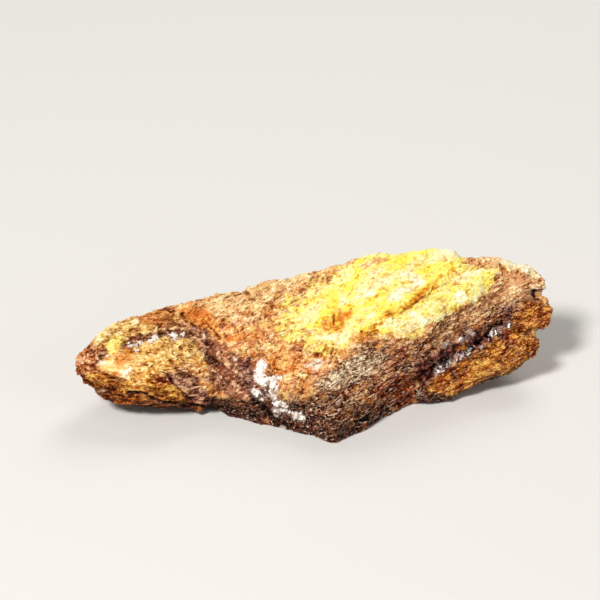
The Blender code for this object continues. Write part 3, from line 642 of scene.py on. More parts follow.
gold = zone(KNOB_GOLD, 1.0)
tip = zone(KNOB_TIP, 0.7)
mauve = zone(KNOB_MAUVE, 0.6)
between = zone(BETWEEN, 0.7, 1.2)
ZONES = [
    # (share of each vertex, colours), from the orange face on
    (blotch(3.4, 51) * seen, SALMON_FACE),
    (blotch(1.5, 53, 0.02, 0.3) * seen * 0.8, STRAW),
    (blotch(1.6, 55, 0.18, 0.42) * seen * 0.75, EMBER),
    (zone(FACE_CREST, 1.2, 1.8) * 0.7, PEACH),
    (zone(STRONG_ORANGE, 0.8) * 0.85, STRONG),
    *[(zone(patch, 0.6, 1.2) * 0.7, STRONG) for patch in FACE_WARM],
    # the knob
    (knob, HONEY),
    (knob * blotch(2.6, 65), RUSSET),
    (gold, GOLD),
    (gold * blotch(1.8, 67, 0.12, 0.4), STRAW),
    (gold * blotch(1.6, 69, 0.15, 0.4), STRONG),
    (tip, RUSSET),
    (tip * blotch(1.4, 71, 0.0, 0.2), SALMON_FACE),
    (zone(KNOB_TOP, 0.7) * 0.9, STRAW),
    (zone(KNOB_TOP, 0.5) * blotch(1.6, 87, -0.1, 0.2) * 0.9, GLOW),
    (mauve, SANDY),
    (mauve * blotch(1.6, 95), MAUVE),
    (zone(KNOB_TAN, 0.5, 0.7), TAN),
    (zone(TAN_END, 0.5, 0.6) * 0.6, AMBER),
    # Painted highlight: the bright sheen and glow on the knob's gold.
    (zone(KNOB_SHEEN, 0.7, 1.3) * 0.7, STRAW),
    (zone(KNOB_GLOW, 0.7, 1.2) * 0.35, GLOW),
    (zone(KNOB_WARM, 0.6, 0.8) * 0.7, STRONG),
    (zone(KNOB_ORANGE, 0.5) * 0.85, ORANGE),
    *[(cut(line, 0.6, 0.4) * 0.8, RUSSET) for line in KNOB_CREASES],
    (ease(-0.9, 0.9, inside(layout, KNOB_DARK) + fray) * ease(-0.8, -0.4, facing), AMBER),
    (zone(KNOB_DARK, 0.9) * blotch(1.5, 73, 0.2, 0.45) * 0.45, HONEY),
    # the valley
    (valley, PURPLE),
    (valley * blotch(1.8, 75) * 0.6, RUSSET),
    (zone(PURPLE_PATCH, 0.6, 1.2) * 0.85, MAUVE),
    (cut(SEAM_LEFT, 1.3, 0.5) * 0.9, PURPLE),
    (zone(CENTRE_PURPLE, 0.7), MAUVE),
    # the bedded side
    (side, BROWN),
    (side * blotch(2.2, 57), RUSSET),
    (side * blotch(1.8, 59, 0.15, 0.4), TAN),
    (side * blotch(2.8, 85, 0.1, 0.4) * 0.55, RED),
    (bed_face * 0.85, SANDY),
    (zone(SIDE_GREY, 1.0), GREY),
    (zone(SIDE_RED, 0.8), RED),
    # the dark foot of the face
    (zone(FRONT_DARK, 1.2, 1.6) * (1.0 - 0.3 * side), DUSK),
    (ease(-0.9, 0.3, inside(layout, FOOT_DARK) + fray * 0.9), DUSK),
    (front_dark * blotch(1.3, 77, 0.25, 0.5) * 0.4, RUSSET),
    # the upper face
    (zone(PINK, 0.8), ROSE),
    (yellow, LEMON_DUST),
    (yellow * blotch(1.3, 79, 0.15, 0.4), ROSE),
    (hollow, DEEP_ORANGE),
    (between, DEEP_ORANGE),
    (between * blotch(0.9, 99, 0.0, 0.2) * 0.8, LEMON_DUST),
    (cut(GROOVE, 1.0, 0.4), SAFFRON),
    (cut(GROOVE, 0.8, 0.5) * blotch(0.9, 93, 0.0, 0.3), DEEP_ORANGE),
    (cut(RED_LINE, 0.35, 0.2) * 0.8, RED_OXIDE),
    (zone(RIM, 0.5), PALE),
    (zone(SALMON, 0.7), ROSE),
    # the beds at the right end, and the seam
    (lobe, LOBE_OCHRE),
    (lobe * blotch(2.4, 61), HONEY),
    (lobe * blotch(2.0, 63, 0.2, 0.45), RED),
    (ease(-1.0, 0.0, inside(layout, LOBE_DARK) + fray * 0.8), DUSK),
    (middle_bed, LOBE_OCHRE),
    (middle_bed * blotch(1.2, 97, -0.15, 0.2) * 0.7, RUSSET),
    (seam_right, SEAM),
    (zone(NODULE, 0.5, 0.8), OXBLOOD),
    (zone(SEAM_ORANGE, 0.3, 0.4), STRONG),
    # cracks and small pale marks. The crevice is painted near black as painted shade, and the
    # knob's cream patches are painted highlights.
    # painted shade in the crevice
    (cut(CREVICE, 0.6, 0.2), BLACK),
    *[(cut(line, 0.35, 0.30) * 0.7, RED) for line in FACE_LINES],
    (zone(LEMON, 0.5, 0.6), LEMON_DUST),
    # painted highlights: the cream patches in the knob's sheen
    *[(zone(patch, 0.4, 1.3) * 0.9, CREAM) for patch in KNOB_WHITES],
    (zone(KNOB_CREAM_LOW, 0.4, 0.5), CREAM),
    (ease(-0.5, 0.1, inside(layout, FACE_CREAM) + fray * 0.5) * seen, CREAM),
    *[(zone(speck, 0.15, 0.1), CREAM) for speck in PALE_SPECKS],
    *[(zone(patch, 0.3, 0.8) * 0.4, MILK) for patch in RIM_FROST],
    # the rock under the white crystals, less in the seam
    *[(zone(patch, 0.4, 0.4) * (0.3 if "seam" in name else 1.0), MILK)
      for name, patches in WHITE_PATCHES.items() for patch in patches],
]


def bed_patches(size, seed):
    """Patches of about that size in millimetres, drawn out along the beds, -1 to 1."""
    return mottle(beds, size * MM, seed, 4) + fray * 0.2


BACK_KINDS = [
    # (share of each vertex behind, colours)
    (np.full(len(places), 0.75), HONEY),
    (ease(-0.1, 0.4, bed_patches(5, 31)), TAN),
    (ease(0.0, -0.45, bed_patches(5, 31)), BROWN),
    (ease(0.0, 0.5, bed_patches(4, 33)) * 0.7, RUSSET),
    (ease(0.1, 0.6, bed_patches(3, 35)) * 0.7, PURPLE),
]
# Faces that point down, low on the stone near the floor, are painted near black: painted
# shade under the stone.
underside_shade = ease(-0.25, -0.75, normals[:, 2]) * ease(9, 3, spots[:, 2] / MM)


def painted(ground, zones):
    """The shade, the body and the bright of every vertex: the zones, one over another."""
    layers = [np.tile(colour, (len(places), 1)) for colour in ground]
    for share, kind in zones:
        for layer, colour in zip(layers, kind):
            layer += (np.array(colour) - layer) * share[:, None]
    return layers


behind = [(part * back, kind) for part, kind in BACK_KINDS]
rock_colours = painted(ORANGE, behind + ZONES + [(underside_shade * 0.8, BLACK)])
write_colours(stone.data, rock_colours)
# The relief darkens the tone in hollows and creases and lightens it on ridges: painted shade
# and painted highlight.
write_values(stone.data, "relief", np.clip(fine_relief * 3.2 + broad_relief * 0.9, -1, 1))
write_values(stone.data, "fibrous", np.clip(0.45 + 0.55 * bedded + 0.2 * knob, 0, 1))
write_values(stone.data, "knob", knob)
smooth = np.clip(zone(RIM, 1.0) + zone(SALMON, 1.0) + zone(PINK, 1.0) + zone(KNOB_GLOW, 1.0)
                 + zone(KNOB_TOP, 1.0) * 0.8 + zone(FACE_CREST, 1.0) * 0.6, 0, 1)
crisp = (0.29 - 0.11 * smooth - 0.10 * bed_face
         + 0.16 * np.clip(side + front_dark, 0, 1))
# glitter: how much painted glint and painted pit shade each vertex shows
glitter = (0.15 + 0.85 * side + 1.0 * front_dark + 0.5 * valley + 0.3 * lobe
           - 0.3 * smooth - 0.5 * bed_face)
write_values(stone.data, "crisp", crisp)
write_values(stone.data, "glitter", np.clip(glitter, 0, 1.3))


def group_tree(name, inputs, outputs):
    """A new shader group with the named sockets, and its input and output nodes."""
    group = bpy.data.node_groups.new(name, "ShaderNodeTree")
    for label, kind, value in inputs:
        socket = group.interface.new_socket(label, in_out="INPUT", socket_type=kind)
        if value is not None:
            socket.default_value = value
    for label, kind in outputs:
        group.interface.new_socket(label, in_out="OUTPUT", socket_type=kind)
    return group, group.nodes.new("NodeGroupInput"), group.nodes.new("NodeGroupOutput")


def feed(tree, socket, value):
    """Gives a socket what another one puts out, or a plain value."""
    if isinstance(value, bpy.types.NodeSocket):
        tree.links.new(value, socket)
    elif value is not None:
        socket.default_value = value


def add_noise(tree, place, scale, detail=2.0, roughness=0.5, output="Fac"):
    """A noise texture's value at a place."""
    grain = tree.nodes.new("ShaderNodeTexNoise")
    for label, value in (("Vector", place), ("Scale", scale), ("Detail", detail),
                         ("Roughness", roughness)):
        feed(tree, grain.inputs[label], value)
    return grain.outputs[output]


def add_cells(tree, place, scale):
    """A sharp-edged grain pattern: a random direction for each crystal."""
    grain = tree.nodes.new("ShaderNodeTexVoronoi")
    feed(tree, grain.inputs["Vector"], place)
    feed(tree, grain.inputs["Scale"], scale)
    return grain.outputs["Color"]


def add_math(tree, operation, first, second, third=None):
    """One step of arithmetic on sockets or numbers."""
    step = tree.nodes.new("ShaderNodeMath")
    step.operation = operation
    for socket, value in zip(step.inputs, (first, second, third)):
        feed(tree, socket, value)
    return step.outputs["Value"]


def add_vector_math(tree, operation, first, second=None):
    """One step of arithmetic on directions."""
    step = tree.nodes.new("ShaderNodeVectorMath")
    step.operation = operation
    feed(tree, step.inputs[0], first)
    feed(tree, step.inputs["Scale" if operation == "SCALE" else 1], second)
    return step.outputs["Value" if operation == "DOT_PRODUCT" else "Vector"]


def add_blend(tree, share, first, second, kind="FLOAT", blend="MIX"):
    """A blend of two values, two directions or two colours."""
    step = tree.nodes.new("ShaderNodeMix")
    step.data_type = kind
    step.blend_type = blend
    row = ("FLOAT", "VECTOR", "RGBA").index(kind)
    feed(tree, step.inputs[0], share)
    feed(tree, step.inputs[2 + 2 * row], first)
    feed(tree, step.inputs[3 + 2 * row], second)
    return step.outputs[row]


def add_range(tree, value, low, high, out_low=0.0, out_high=1.0):
    """A value spread from one range to another, and kept inside it."""
    step = tree.nodes.new("ShaderNodeMapRange")
    for socket, number in zip(step.inputs, (value, low, high, out_low, out_high)):
        feed(tree, socket, number)
    return step.outputs["Result"]


def add_attribute(tree, name, output="Fac"):
    """One of the piece's own stored values."""
    node = tree.nodes.new("ShaderNodeAttribute")
    node.attribute_name = name
    return node.outputs[output]


def add_turned(tree, place, turn, stretch=(1, 1, 1), kind="POINT"):
    """A place turned or, as a texture, drawn out along the beds."""
    step = tree.nodes.new("ShaderNodeMapping")
    step.vector_type = kind
    for label, value in (("Vector", place), ("Rotation", turn), ("Scale", stretch)):
        feed(tree, step.inputs[label], value)
    return step.outputs["Vector"]


def add_bump(tree, surface, strength, depth, height, normal=None):
    """Fine relief on a finish."""
    bump = tree.nodes.new("ShaderNodeBump")
    for label, value in (("Strength", strength), ("Distance", depth), ("Height", height),
                         ("Normal", normal)):
        feed(tree, bump.inputs[label], value)
    tree.links.new(bump.outputs["Normal"], surface.inputs["Normal"])


def add_veins(tree, place, scale, width, often):
    """Thin wandering lines, 0 to 1, broken by patches that are bare of them."""
    away = add_math(tree, "SUBTRACT", add_noise(tree, place, scale, 3.0), 0.5)
    lines = add_range(tree, add_math(tree, "ABSOLUTE", away, 0.0), width, width * 0.2)
    there = add_range(tree, add_noise(tree, place, scale * 0.9, 1.0), 1 - often, 1.1 - often)
    return add_math(tree, "MULTIPLY", lines, there)


def add_picked(tree, lot, low, high, place, scale, bare, full, least=0.0):
    """The few crystals whose lot is drawn, 0 to 1, in patches that come and go."""
    where = add_range(tree, add_noise(tree, place, scale), bare, full, least, 1.0)
    return add_math(tree, "MULTIPLY", add_range(tree, lot, low, high), where)


# The grain's scales are in waves per metre, and its stretches run along the beds, across
# them and off them: well drawn out in bedded rock, and less elsewhere.
BED_STRETCH = (4.5, 1.8, 1)
ROCK_STRETCH = (2.2, 1.3, 1)
SWAY_SCALE = 700
SWAY = 0.8 * MM
CRYSTAL_SCALES = [(3400, 3300), (5600, 5600)]  # elsewhere and in bedded rock
# The direction toward the key lamp. Crystal faces that lean along it are painted paler, and
# those that lean away are painted darker: painted light and shade.
TOWARD_KEY_LAMP = (-0.52, -0.40, 0.75)
HALF = (0.5, 0.5, 0.5)
WHOLE = (1.0, 1.0, 1.0)


def grain_group():
    """Rock grain: a tone from dark to light, a height, and the lean of tiny crystal
    faces, which run along the beds where the rock has them. Faces that lean toward the
    key lamp are painted paler, and those that lean away are painted darker: painted
    light and shade."""
    group, given, made = group_tree(
        "rock_grain",
        [("Place", "NodeSocketVector", None), ("Relief", "NodeSocketFloat", 0.0),
         ("Beds", "NodeSocketFloat", 0.0), ("Tip", "NodeSocketFloat", 0.50),
         ("Sharp", "NodeSocketFloat", 0.15), ("Veins", "NodeSocketFloat", 1.0)],
        [("Tone", "NodeSocketFloat"), ("Height", "NodeSocketFloat"),
         ("Facets", "NodeSocketVector"), ("Glints", "NodeSocketFloat"),
         ("Pit_shade", "NodeSocketFloat")])
    place, beds, sharp = (given.outputs[label] for label in ("Place", "Beds", "Sharp"))

    # The places that the grain is drawn at, shaken so that it wavers.
    sway = add_noise(group, place, SWAY_SCALE, output="Color")
    sway = add_vector_math(group, "SUBTRACT", sway, HALF)
    sway = add_vector_math(group, "SCALE", sway, SWAY)
    shaken = add_vector_math(group, "ADD", place, sway)
    turn = Matrix((ALONG_BEDS, IN_BEDS, OFF_BEDS)).transposed().to_euler()
    strands, drawn = (add_turned(group, shaken, turn, stretch, "TEXTURE")
                      for stretch in (BED_STRETCH, ROCK_STRETCH))

    # The crystals, in two sizes, each tipped its own way.
    sizes = [add_blend(group, beds, add_cells(group, drawn, rock),
                       add_cells(group, strands, bedded), "VECTOR")
             for rock, bedded in CRYSTAL_SCALES]
    tips = add_vector_math(group, "ADD", *sizes)
    tips = add_vector_math(group, "SUBTRACT", tips, WHOLE)
    lean = add_vector_math(group, "SCALE", tips, given.outputs["Tip"])
    straight = group.nodes.new("ShaderNodeNewGeometry").outputs["Normal"]
    facets = add_vector_math(group, "ADD", straight, lean)
    facets = add_vector_math(group, "NORMALIZE", facets)

    # The height: broad and soft grain, crystal faces that stand higher the more they lean
    # toward the key lamp, and thin veins. Through the tone, that lean is painted light and
    # shade.
    soft = add_blend(group, beds, add_noise(group, drawn, 1700, 5.0, 0.74),
                     add_noise(group, strands, 1500, 5.0, 0.70))
    height = add_math(group, "MULTIPLY", add_noise(group, place, 260, 3.0), 0.5)
    height = add_math(group, "MULTIPLY_ADD", soft, 1.3, height)
    patchy = add_range(group, add_noise(group, drawn, 420), 0.40, 0.60, 0.4, 1.7)
    # painted light and shade: how far each crystal face leans toward the key lamp
    lean_to_lamp = add_vector_math(group, "DOT_PRODUCT", tips, TOWARD_KEY_LAMP)
    faces = add_math(group, "MULTIPLY", lean_to_lamp, add_math(group, "MULTIPLY", patchy, sharp))
    height = add_math(group, "ADD", height, faces)
    veins = add_math(group, "SUBTRACT", add_veins(group, drawn, 460, 0.05, 0.50),
                     add_veins(group, drawn, 380, 0.05, 0.52))
    veins = add_math(group, "MULTIPLY", veins, given.outputs["Veins"])
    height = add_math(group, "MULTIPLY_ADD", veins, 0.16, height)

    # The tone: the height, with the painted light and shade of the faces' lean, and the
    # relief, painted darker in hollows and creases and paler on ridges (painted shade and
    # painted highlight), with pale and dark pinpricks.
    tone = add_range(group, height, 0.60, 1.12)
    tone = add_math(group, "MULTIPLY_ADD", given.outputs["Relief"], 0.42, tone)
    lot = add_vector_math(group, "DOT_PRODUCT", sizes[1], (1.0, 0.0, 0.0))
    salt = add_picked(group, lot, 0.76, 0.80, drawn, 640, 0.52, 0.60)
    pepper = add_picked(group, lot, 0.26, 0.22, drawn, 560, 0.54, 0.62)
    pinpricks = add_math(group, "SUBTRACT", salt, pepper)
    pinpricks = add_math(group, "MULTIPLY", pinpricks, sharp)
    tone = add_math(group, "MULTIPLY_ADD", pinpricks, 2.2, tone)

    # Painted glints on single crystals, and painted shade in pits where one fell out.
    lot = add_vector_math(group, "DOT_PRODUCT", sizes[1], (0.0, 1.0, 0.0))
    glints = add_picked(group, lot, 0.80, 0.86, drawn, 480, 0.38, 0.60, 0.25)
    pit_shade = add_picked(group, lot, 0.23, 0.17, drawn, 480, 0.38, 0.60, 0.25)
    for label, value in (("Tone", tone), ("Height", height), ("Facets", facets),
                         ("Glints", glints), ("Pit_shade", pit_shade)):
        feed(group, made.inputs[label], value)
    return group


ROCK_GRAIN = grain_group()


def add_rock_grain(tree, **values):
    """The rock grain in a finish, with its own values: what the group puts out."""
    grain = tree.nodes.new("ShaderNodeGroup")
    grain.node_tree = ROCK_GRAIN
    for label, value in values.items():
        feed(tree, grain.inputs[label.capitalize()], value)
    return grain.outputs


def add_rock_colour(tree, tone):
    """The piece's shade, body and bright colours, taken in turn as the tone rises."""
    shade, body, bright = (add_attribute(tree, name, "Color")
                           for name in ("shade", "body", "bright"))
    to_body = add_math(tree, "POWER", add_range(tree, tone, 0.0, 0.5), 1.5)
    to_bright = add_math(tree, "POWER", add_range(tree, tone, 0.5, 1.0), 1.8)
    return add_blend(tree, to_bright, add_blend(tree, to_body, shade, body, "RGBA"),
                     bright, "RGBA")


# The painted shade of a pit, and the pale of a painted glint.
PIT_SHADE = rgb(24, 4, 2)
GLINT = rgb(244, 216, 190)

# The knob's grain is turned to run along its own beds.
material, tree, surface = new_material("iron_stained_rock")
spot = tree.nodes.new("ShaderNodeTexCoord").outputs["Object"]
knob_turn = KNOB_ALONG.rotation_difference(ALONG_BEDS).to_euler()
on_knob = add_math(tree, "GREATER_THAN", add_attribute(tree, "knob"), 0.5)
spot = add_blend(tree, on_knob, spot, add_turned(tree, spot, knob_turn), "VECTOR")
grain = add_rock_grain(tree, place=spot, relief=add_attribute(tree, "relief"),
                       beds=add_attribute(tree, "fibrous"),
                       sharp=add_attribute(tree, "crisp"))
tone = grain["Tone"]
colour = add_rock_colour(tree, tone)
# Painted glints and painted pit shade, strongest on the bedded side and the dark foot.
glitter = add_math(tree, "MULTIPLY", add_attribute(tree, "glitter"), 0.85)
pit_shade = add_math(tree, "MULTIPLY", grain["Pit_shade"], glitter)
colour = add_blend(tree, pit_shade, colour, PIT_SHADE, "RGBA")
glints = add_math(tree, "MULTIPLY", grain["Glints"], glitter)
colour = add_blend(tree, glints, colour, GLINT, "RGBA")
tree.links.new(colour, surface.inputs["Base Color"])
tree.links.new(add_range(tree, tone, 0.2, 1.0, 0.8, 0.5), surface.inputs["Roughness"])
surface.inputs["Specular IOR Level"].default_value = 0.07
add_bump(tree, surface, 0.8, 0.25 * MM, grain["Height"], grain["Facets"])
stone.data.materials.clear()
stone.data.materials.append(material)
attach(stone, "root")
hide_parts("matrix_rock")


# The mimetite crust. Yellow lead arsenate that grew over the upper face in two sheets,
# with a groove of bare orange rock between them, and one small patch on the left knob.
# Each sheet is grown from the stone's own surface, streaked along the beds and lumpy.
CRUST_OUTLINES = {
    "mimetite_crust": [
        (-5.5, 14.9), (-3.3, 16.6), (-0.9, 18.4), (0.7, 20.3), (2.7, 22.3), (4.7, 24.0),
        (7.1, 25.8), (9.1, 27.4), (13.7, 28.4), (16.7, 28.8), (19.5, 29.6), (22.7, 30.2),
        (26.2, 30.2), (28.4, 28.2), (28.9, 25.6), (27.1, 24.4), (25.3, 23.3),
        (23.1, 21.4), (21.5, 20.3), (19.1, 18.4), (16.3, 16.8), (13.9, 15.3),
        (11.9, 13.9), (9.5, 12.4), (6.7, 10.6), (4.3, 9.3), (1.1, 9.3), (-0.5, 10.4),
        (-0.9, 11.9), (-3.3, 13.0)],
    "mimetite_crust_front": [
        (14.3, 13.9), (16.7, 15.4), (19.1, 16.8), (21.5, 18.3), (23.5, 20.0),
        (25.1, 21.1), (27.1, 22.4), (29.1, 23.4), (31.1, 24.6), (33.3, 25.1),
        (35.5, 24.6), (35.9, 22.8), (35.1, 21.3), (33.5, 19.6), (30.9, 18.3),
        (28.7, 16.8), (26.3, 16.0), (24.1, 14.6), (22.7, 13.4), (19.9, 12.6),
        (17.5, 11.6), (15.1, 11.3), (12.9, 11.6), (12.3, 12.9)],
    "mimetite_patch_left": [
        (-41.3, 9.0), (-40.7, 10.6), (-39.5, 11.6), (-37.9, 11.4), (-37.3, 10.3),
        (-38.3, 9.3), (-39.7, 8.4), (-40.9, 7.9)],
}
CRUST_SPREAD = {
    # name: how far the sheet grows past its outline, in millimetres
    "grown_crust": 0.6,
    "grown_crust_front": 0.6,
    "grown_patch_left": -0.3,
}
CRUST_HEIGHT = 0.26
CRUST_ROOT = 0.40
CRUST_SHELL = 0.5 * MM
CRUST_CUT = -0.7  # the reach, in millimetres, past which there is no crust
OUT_OF_REACH = -9
SMALLEST_PATCH = 60  # vertices

# Patches of other colours on the crust, as outlines on the same plane.
WHITE_STREAKS = [
    [(7.6, 20.6), (8.6, 20.9), (9.7, 21.8), (10.6, 22.0), (10.4, 21.5), (9.5, 20.8),
     (8.6, 20.1), (7.9, 20.2)],
    [(9.5, 19.5), (10.1, 20.2), (11.4, 20.2), (11.9, 19.7), (11.3, 19.2), (10.0, 19.2)],
    [(13.6, 17.8), (14.3, 18.8), (15.5, 20.1), (17.7, 20.9), (19.6, 21.8), (19.6, 20.8),
     (17.8, 19.7), (15.8, 18.3), (13.9, 17.5)],
    [(16.5, 22.5), (18.8, 23.0), (20.9, 23.5), (20.9, 22.7), (19.1, 22.3), (17.4, 22.2)],
    [(12.8, 13.0), (13.7, 14.0), (14.9, 14.7), (15.7, 14.4), (15.0, 13.3), (13.6, 12.8)],
    [(9.2, 14.7), (10.6, 15.6), (11.6, 15.7), (11.3, 15.0), (9.9, 14.2), (9.2, 14.2)],
    [(4.3, 18.0), (5.0, 19.4), (5.8, 18.7), (6.0, 17.6), (5.1, 16.8), (4.6, 16.9)],
    [(18.9, 22.7), (20.6, 22.9), (21.8, 22.5), (21.2, 21.3), (19.6, 21.1), (18.8, 21.3)],
    [(18.7, 16.1), (19.5, 16.1), (19.8, 15.3), (19.0, 14.7), (18.6, 14.9)],
    [(28.0, 19.4), (29.2, 19.9), (30.6, 19.0), (29.8, 17.8), (29.0, 17.0), (28.4, 17.8),
     (27.8, 18.6)],
]
CREAM_FOOT = [(-0.7, 10.6), (0.7, 11.3), (3.3, 11.6), (5.7, 12.1), (6.7, 12.0),
              (5.7, 10.8), (4.3, 9.7), (2.8, 9.7), (1.6, 10.0), (-0.1, 9.9)]
PINK_TOPS = [
    [(-2.5, 21.8), (-1.1, 22.2), (0.4, 22.0), (1.7, 23.4), (3.4, 23.8), (3.4, 23.0),
     (2.2, 22.4), (1.0, 21.1), (-0.1, 20.1), (-1.5, 20.1), (-2.0, 20.8)],
    [(8.7, 25.0), (9.6, 26.4), (12.3, 26.9), (14.4, 26.9), (14.0, 26.1), (11.9, 25.5),
     (10.4, 24.5), (9.4, 24.5)],
]
ORANGE_STREAKS = [
    [(13.2, 23.2), (14.3, 23.7), (15.7, 23.8), (15.5, 23.5), (14.3, 23.2), (13.6, 23.0)],
    [(17.2, 21.8), (18.1, 21.9), (19.5, 22.0), (19.5, 21.7), (17.9, 21.5), (17.2, 21.6)],
    [(22.3, 20.9), (24.0, 21.7), (24.7, 21.1), (23.3, 20.5), (22.5, 20.5)],
]
CRUST_YELLOW = (rgb(214, 146, 50), rgb(250, 239, 122), rgb(255, 255, 194))
CRUST_STRONG = (rgb(226, 146, 32), rgb(253, 236, 80), rgb(255, 254, 140))
CRUST_WHITE = (rgb(228, 198, 116), rgb(255, 254, 206), rgb(255, 255, 250))
CRUST_CREAM = (rgb(198, 142, 72), rgb(248, 236, 168), rgb(255, 255, 228))

crust_seen = ease(-0.55, -0.1, facing + fray * 0.15)
crust_tone = mottle(beds, 3.0 * MM, 41, 3)
lemon = zone(LEMON, 1.6, 1.0)
CRUST_ZONES = [
    # (share of each vertex, colours)
    (ease(-0.05, 0.35, crust_tone), CRUST_STRONG),
    (ease(-0.15, -0.45, crust_tone), CRUST_CREAM),
    (zone(HOLLOW, 1.4, 0.8), CRUST_STRONG),
    (cut(GROOVE, 1.9, 0.6), CRUST_STRONG),
    (zone(CREAM_FOOT, 0.5, 0.7), CRUST_CREAM),
    *[(zone(streak, 0.5, 0.7), CRUST_WHITE) for streak in WHITE_STREAKS],
    (ease(-0.9, 0.3, inside(layout, HOLLOW) + fray) * seen, DEEP_ORANGE),
    (zone(HOLLOW, 0.5, 0.9) * blotch(0.9, 89, 0.1, 0.3) * 0.4, CRUST_STRONG),
    (zone(HOLLOW, 0.3, 0.9) * blotch(0.8, 91, 0.1, 0.35) * 0.8, STRONG),
    (cut(GROOVE, 0.8, 0.4), SAFFRON),
    (cut(GROOVE, 0.7, 0.5) * blotch(0.9, 93, 0.0, 0.3), DEEP_ORANGE),
    (cut(RED_LINE, 0.35, 0.2) * 0.8, RED_OXIDE),
    (cut(HAIRLINE, 0.2, 0.1) * 0.8, RED),
    (lemon, LEMON_DUST),
    (lemon * blotch(0.9, 81, 0.0, 0.2), PALE),
    (lemon * blotch(0.8, 83, 0.08, 0.25), GOLD),
    *[(zone(patch, 0.5, 0.6) * 0.8, ROSE) for patch in PINK_TOPS],
    *[(zone(streak, 0.4, 0.6) * 0.9, DEEP_ORANGE) for streak in ORANGE_STREAKS],
    (blotch(0.8, 101, 0.2, 0.4) * crust_seen * 0.5, SALMON_FACE),
]
crust_colours = painted(CRUST_YELLOW, CRUST_ZONES)

under = (0.5 * broad_chips - 0.3 * hollow - 0.10 * cut(GROOVE, 1.0)
         - 0.3 * cut(HAIRLINE, 0.3, 0.1))
under_places = spots + normals * under[:, None] * MM


def crumbs_behind(mesh, lifts):
    """The vertices of every small loose patch that lies on the stone's back."""
    found = []
    left = set(mesh.verts)
    while left:
        patch = {left.pop()}
        growing = list(patch)
        while growing:
            vert = growing.pop()
            near = {edge.other_vert(vert) for edge in vert.link_edges} & left
            left -= near
            patch |= near
            growing += near
        if len(patch) < SMALLEST_PATCH and any(vert[lifts].dot(TOWARD) < 0 for vert in patch):
            found += patch
    return found


def crust_sheet(name, outline):
    """One sheet: the stone's surface inside the outline, finer, raised and closed."""
    reach = inside(layout, outline) + fray * (1.0 + 0.6 * dusty) + CRUST_SPREAD[name]
    reach += 0.5 * cut(GROOVE, 2.0)
    sheet = stone.copy()
    sheet.data = stone.data.copy()
    sheet.name = name
    bpy.context.scene.collection.objects.link(sheet)
    sheet.data.vertices.foreach_set("co", under_places.ravel())
    write_colours(sheet.data, crust_colours)
    write_values(sheet.data, "reach", np.where(crust_seen > 0.3, reach, OUT_OF_REACH))
    write_values(sheet.data, "lift", normals)
    mesh = bmesh.new()
    mesh.from_mesh(sheet.data)
    reaches = mesh.verts.layers.float["reach"]
    lifts = mesh.verts.layers.float_vector["lift"]
    bare = [vert for vert in mesh.verts if vert[reaches] < CRUST_CUT]
    bmesh.ops.delete(mesh, geom=bare, context="VERTS")
    bmesh.ops.delete(mesh, geom=crumbs_behind(mesh, lifts), context="VERTS")
    bmesh.ops.subdivide_edges(mesh, edges=mesh.edges, cuts=1, use_grid_fill=True)
    raised = [vert.co.copy() for vert in mesh.verts]
    streaky = stretched(raised, ALONG_BEDS, 5)
    lumps = (0.13 * mottle(streaky, 1.7 * MM, 43, 3) + 0.09 * chips(raised, 0.7 * MM, 45)
             + 0.08 * mottle(raised, 0.4 * MM, 47, 2))
    for vert, lump in zip(mesh.verts, lumps):
        full = float(ease(-0.6, 1.2, vert[reaches]))
        height = -CRUST_ROOT + (CRUST_HEIGHT + CRUST_ROOT) * full + lump * full
        vert.co += vert[lifts].normalized() * height * MM
    mesh.normal_update()
    mesh.to_mesh(sheet.data)
    mesh.free()
    shell = sheet.modifiers.new("shell", "SOLIDIFY")
    shell.thickness = CRUST_SHELL
    shell.offset = -1
    apply_modifiers(sheet)
    return sheet


# The painted shade of the crust's pits, orange-brown on the yellow.
CRUST_PIT_SHADE = rgb(196, 122, 44)

crust_finish, tree, surface = new_material("mimetite_crust")
spot = tree.nodes.new("ShaderNodeTexCoord").outputs["Object"]
# The relief paints shade into the crust's hollows and highlights on its ridges, as on the
# stone.
grain = add_rock_grain(tree, place=spot, relief=add_attribute(tree, "relief"), beds=0.5,
                       tip=0.4, sharp=0.24, veins=0.6)
tone = add_range(tree, grain["Tone"], -0.15, 0.95)
pit_shade = add_math(tree, "MULTIPLY", grain["Pit_shade"], 0.7)
colour = add_blend(tree, pit_shade, add_rock_colour(tree, tone), CRUST_PIT_SHADE, "RGBA")
tree.links.new(colour, surface.inputs["Base Color"])
tree.links.new(add_range(tree, tone, 0.2, 1.0, 0.7, 0.5), surface.inputs["Roughness"])
surface.inputs["Specular IOR Level"].default_value = 0.2
add_bump(tree, surface, 0.6, 0.12 * MM, grain["Height"], grain["Facets"])

for name, outline in CRUST_OUTLINES.items():
    sheet = crust_sheet(name.replace("mimetite", "grown"), outline)
    sheet.data.materials.clear()
    sheet.data.materials.append(crust_finish)
    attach(sheet, "root")
    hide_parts(name)


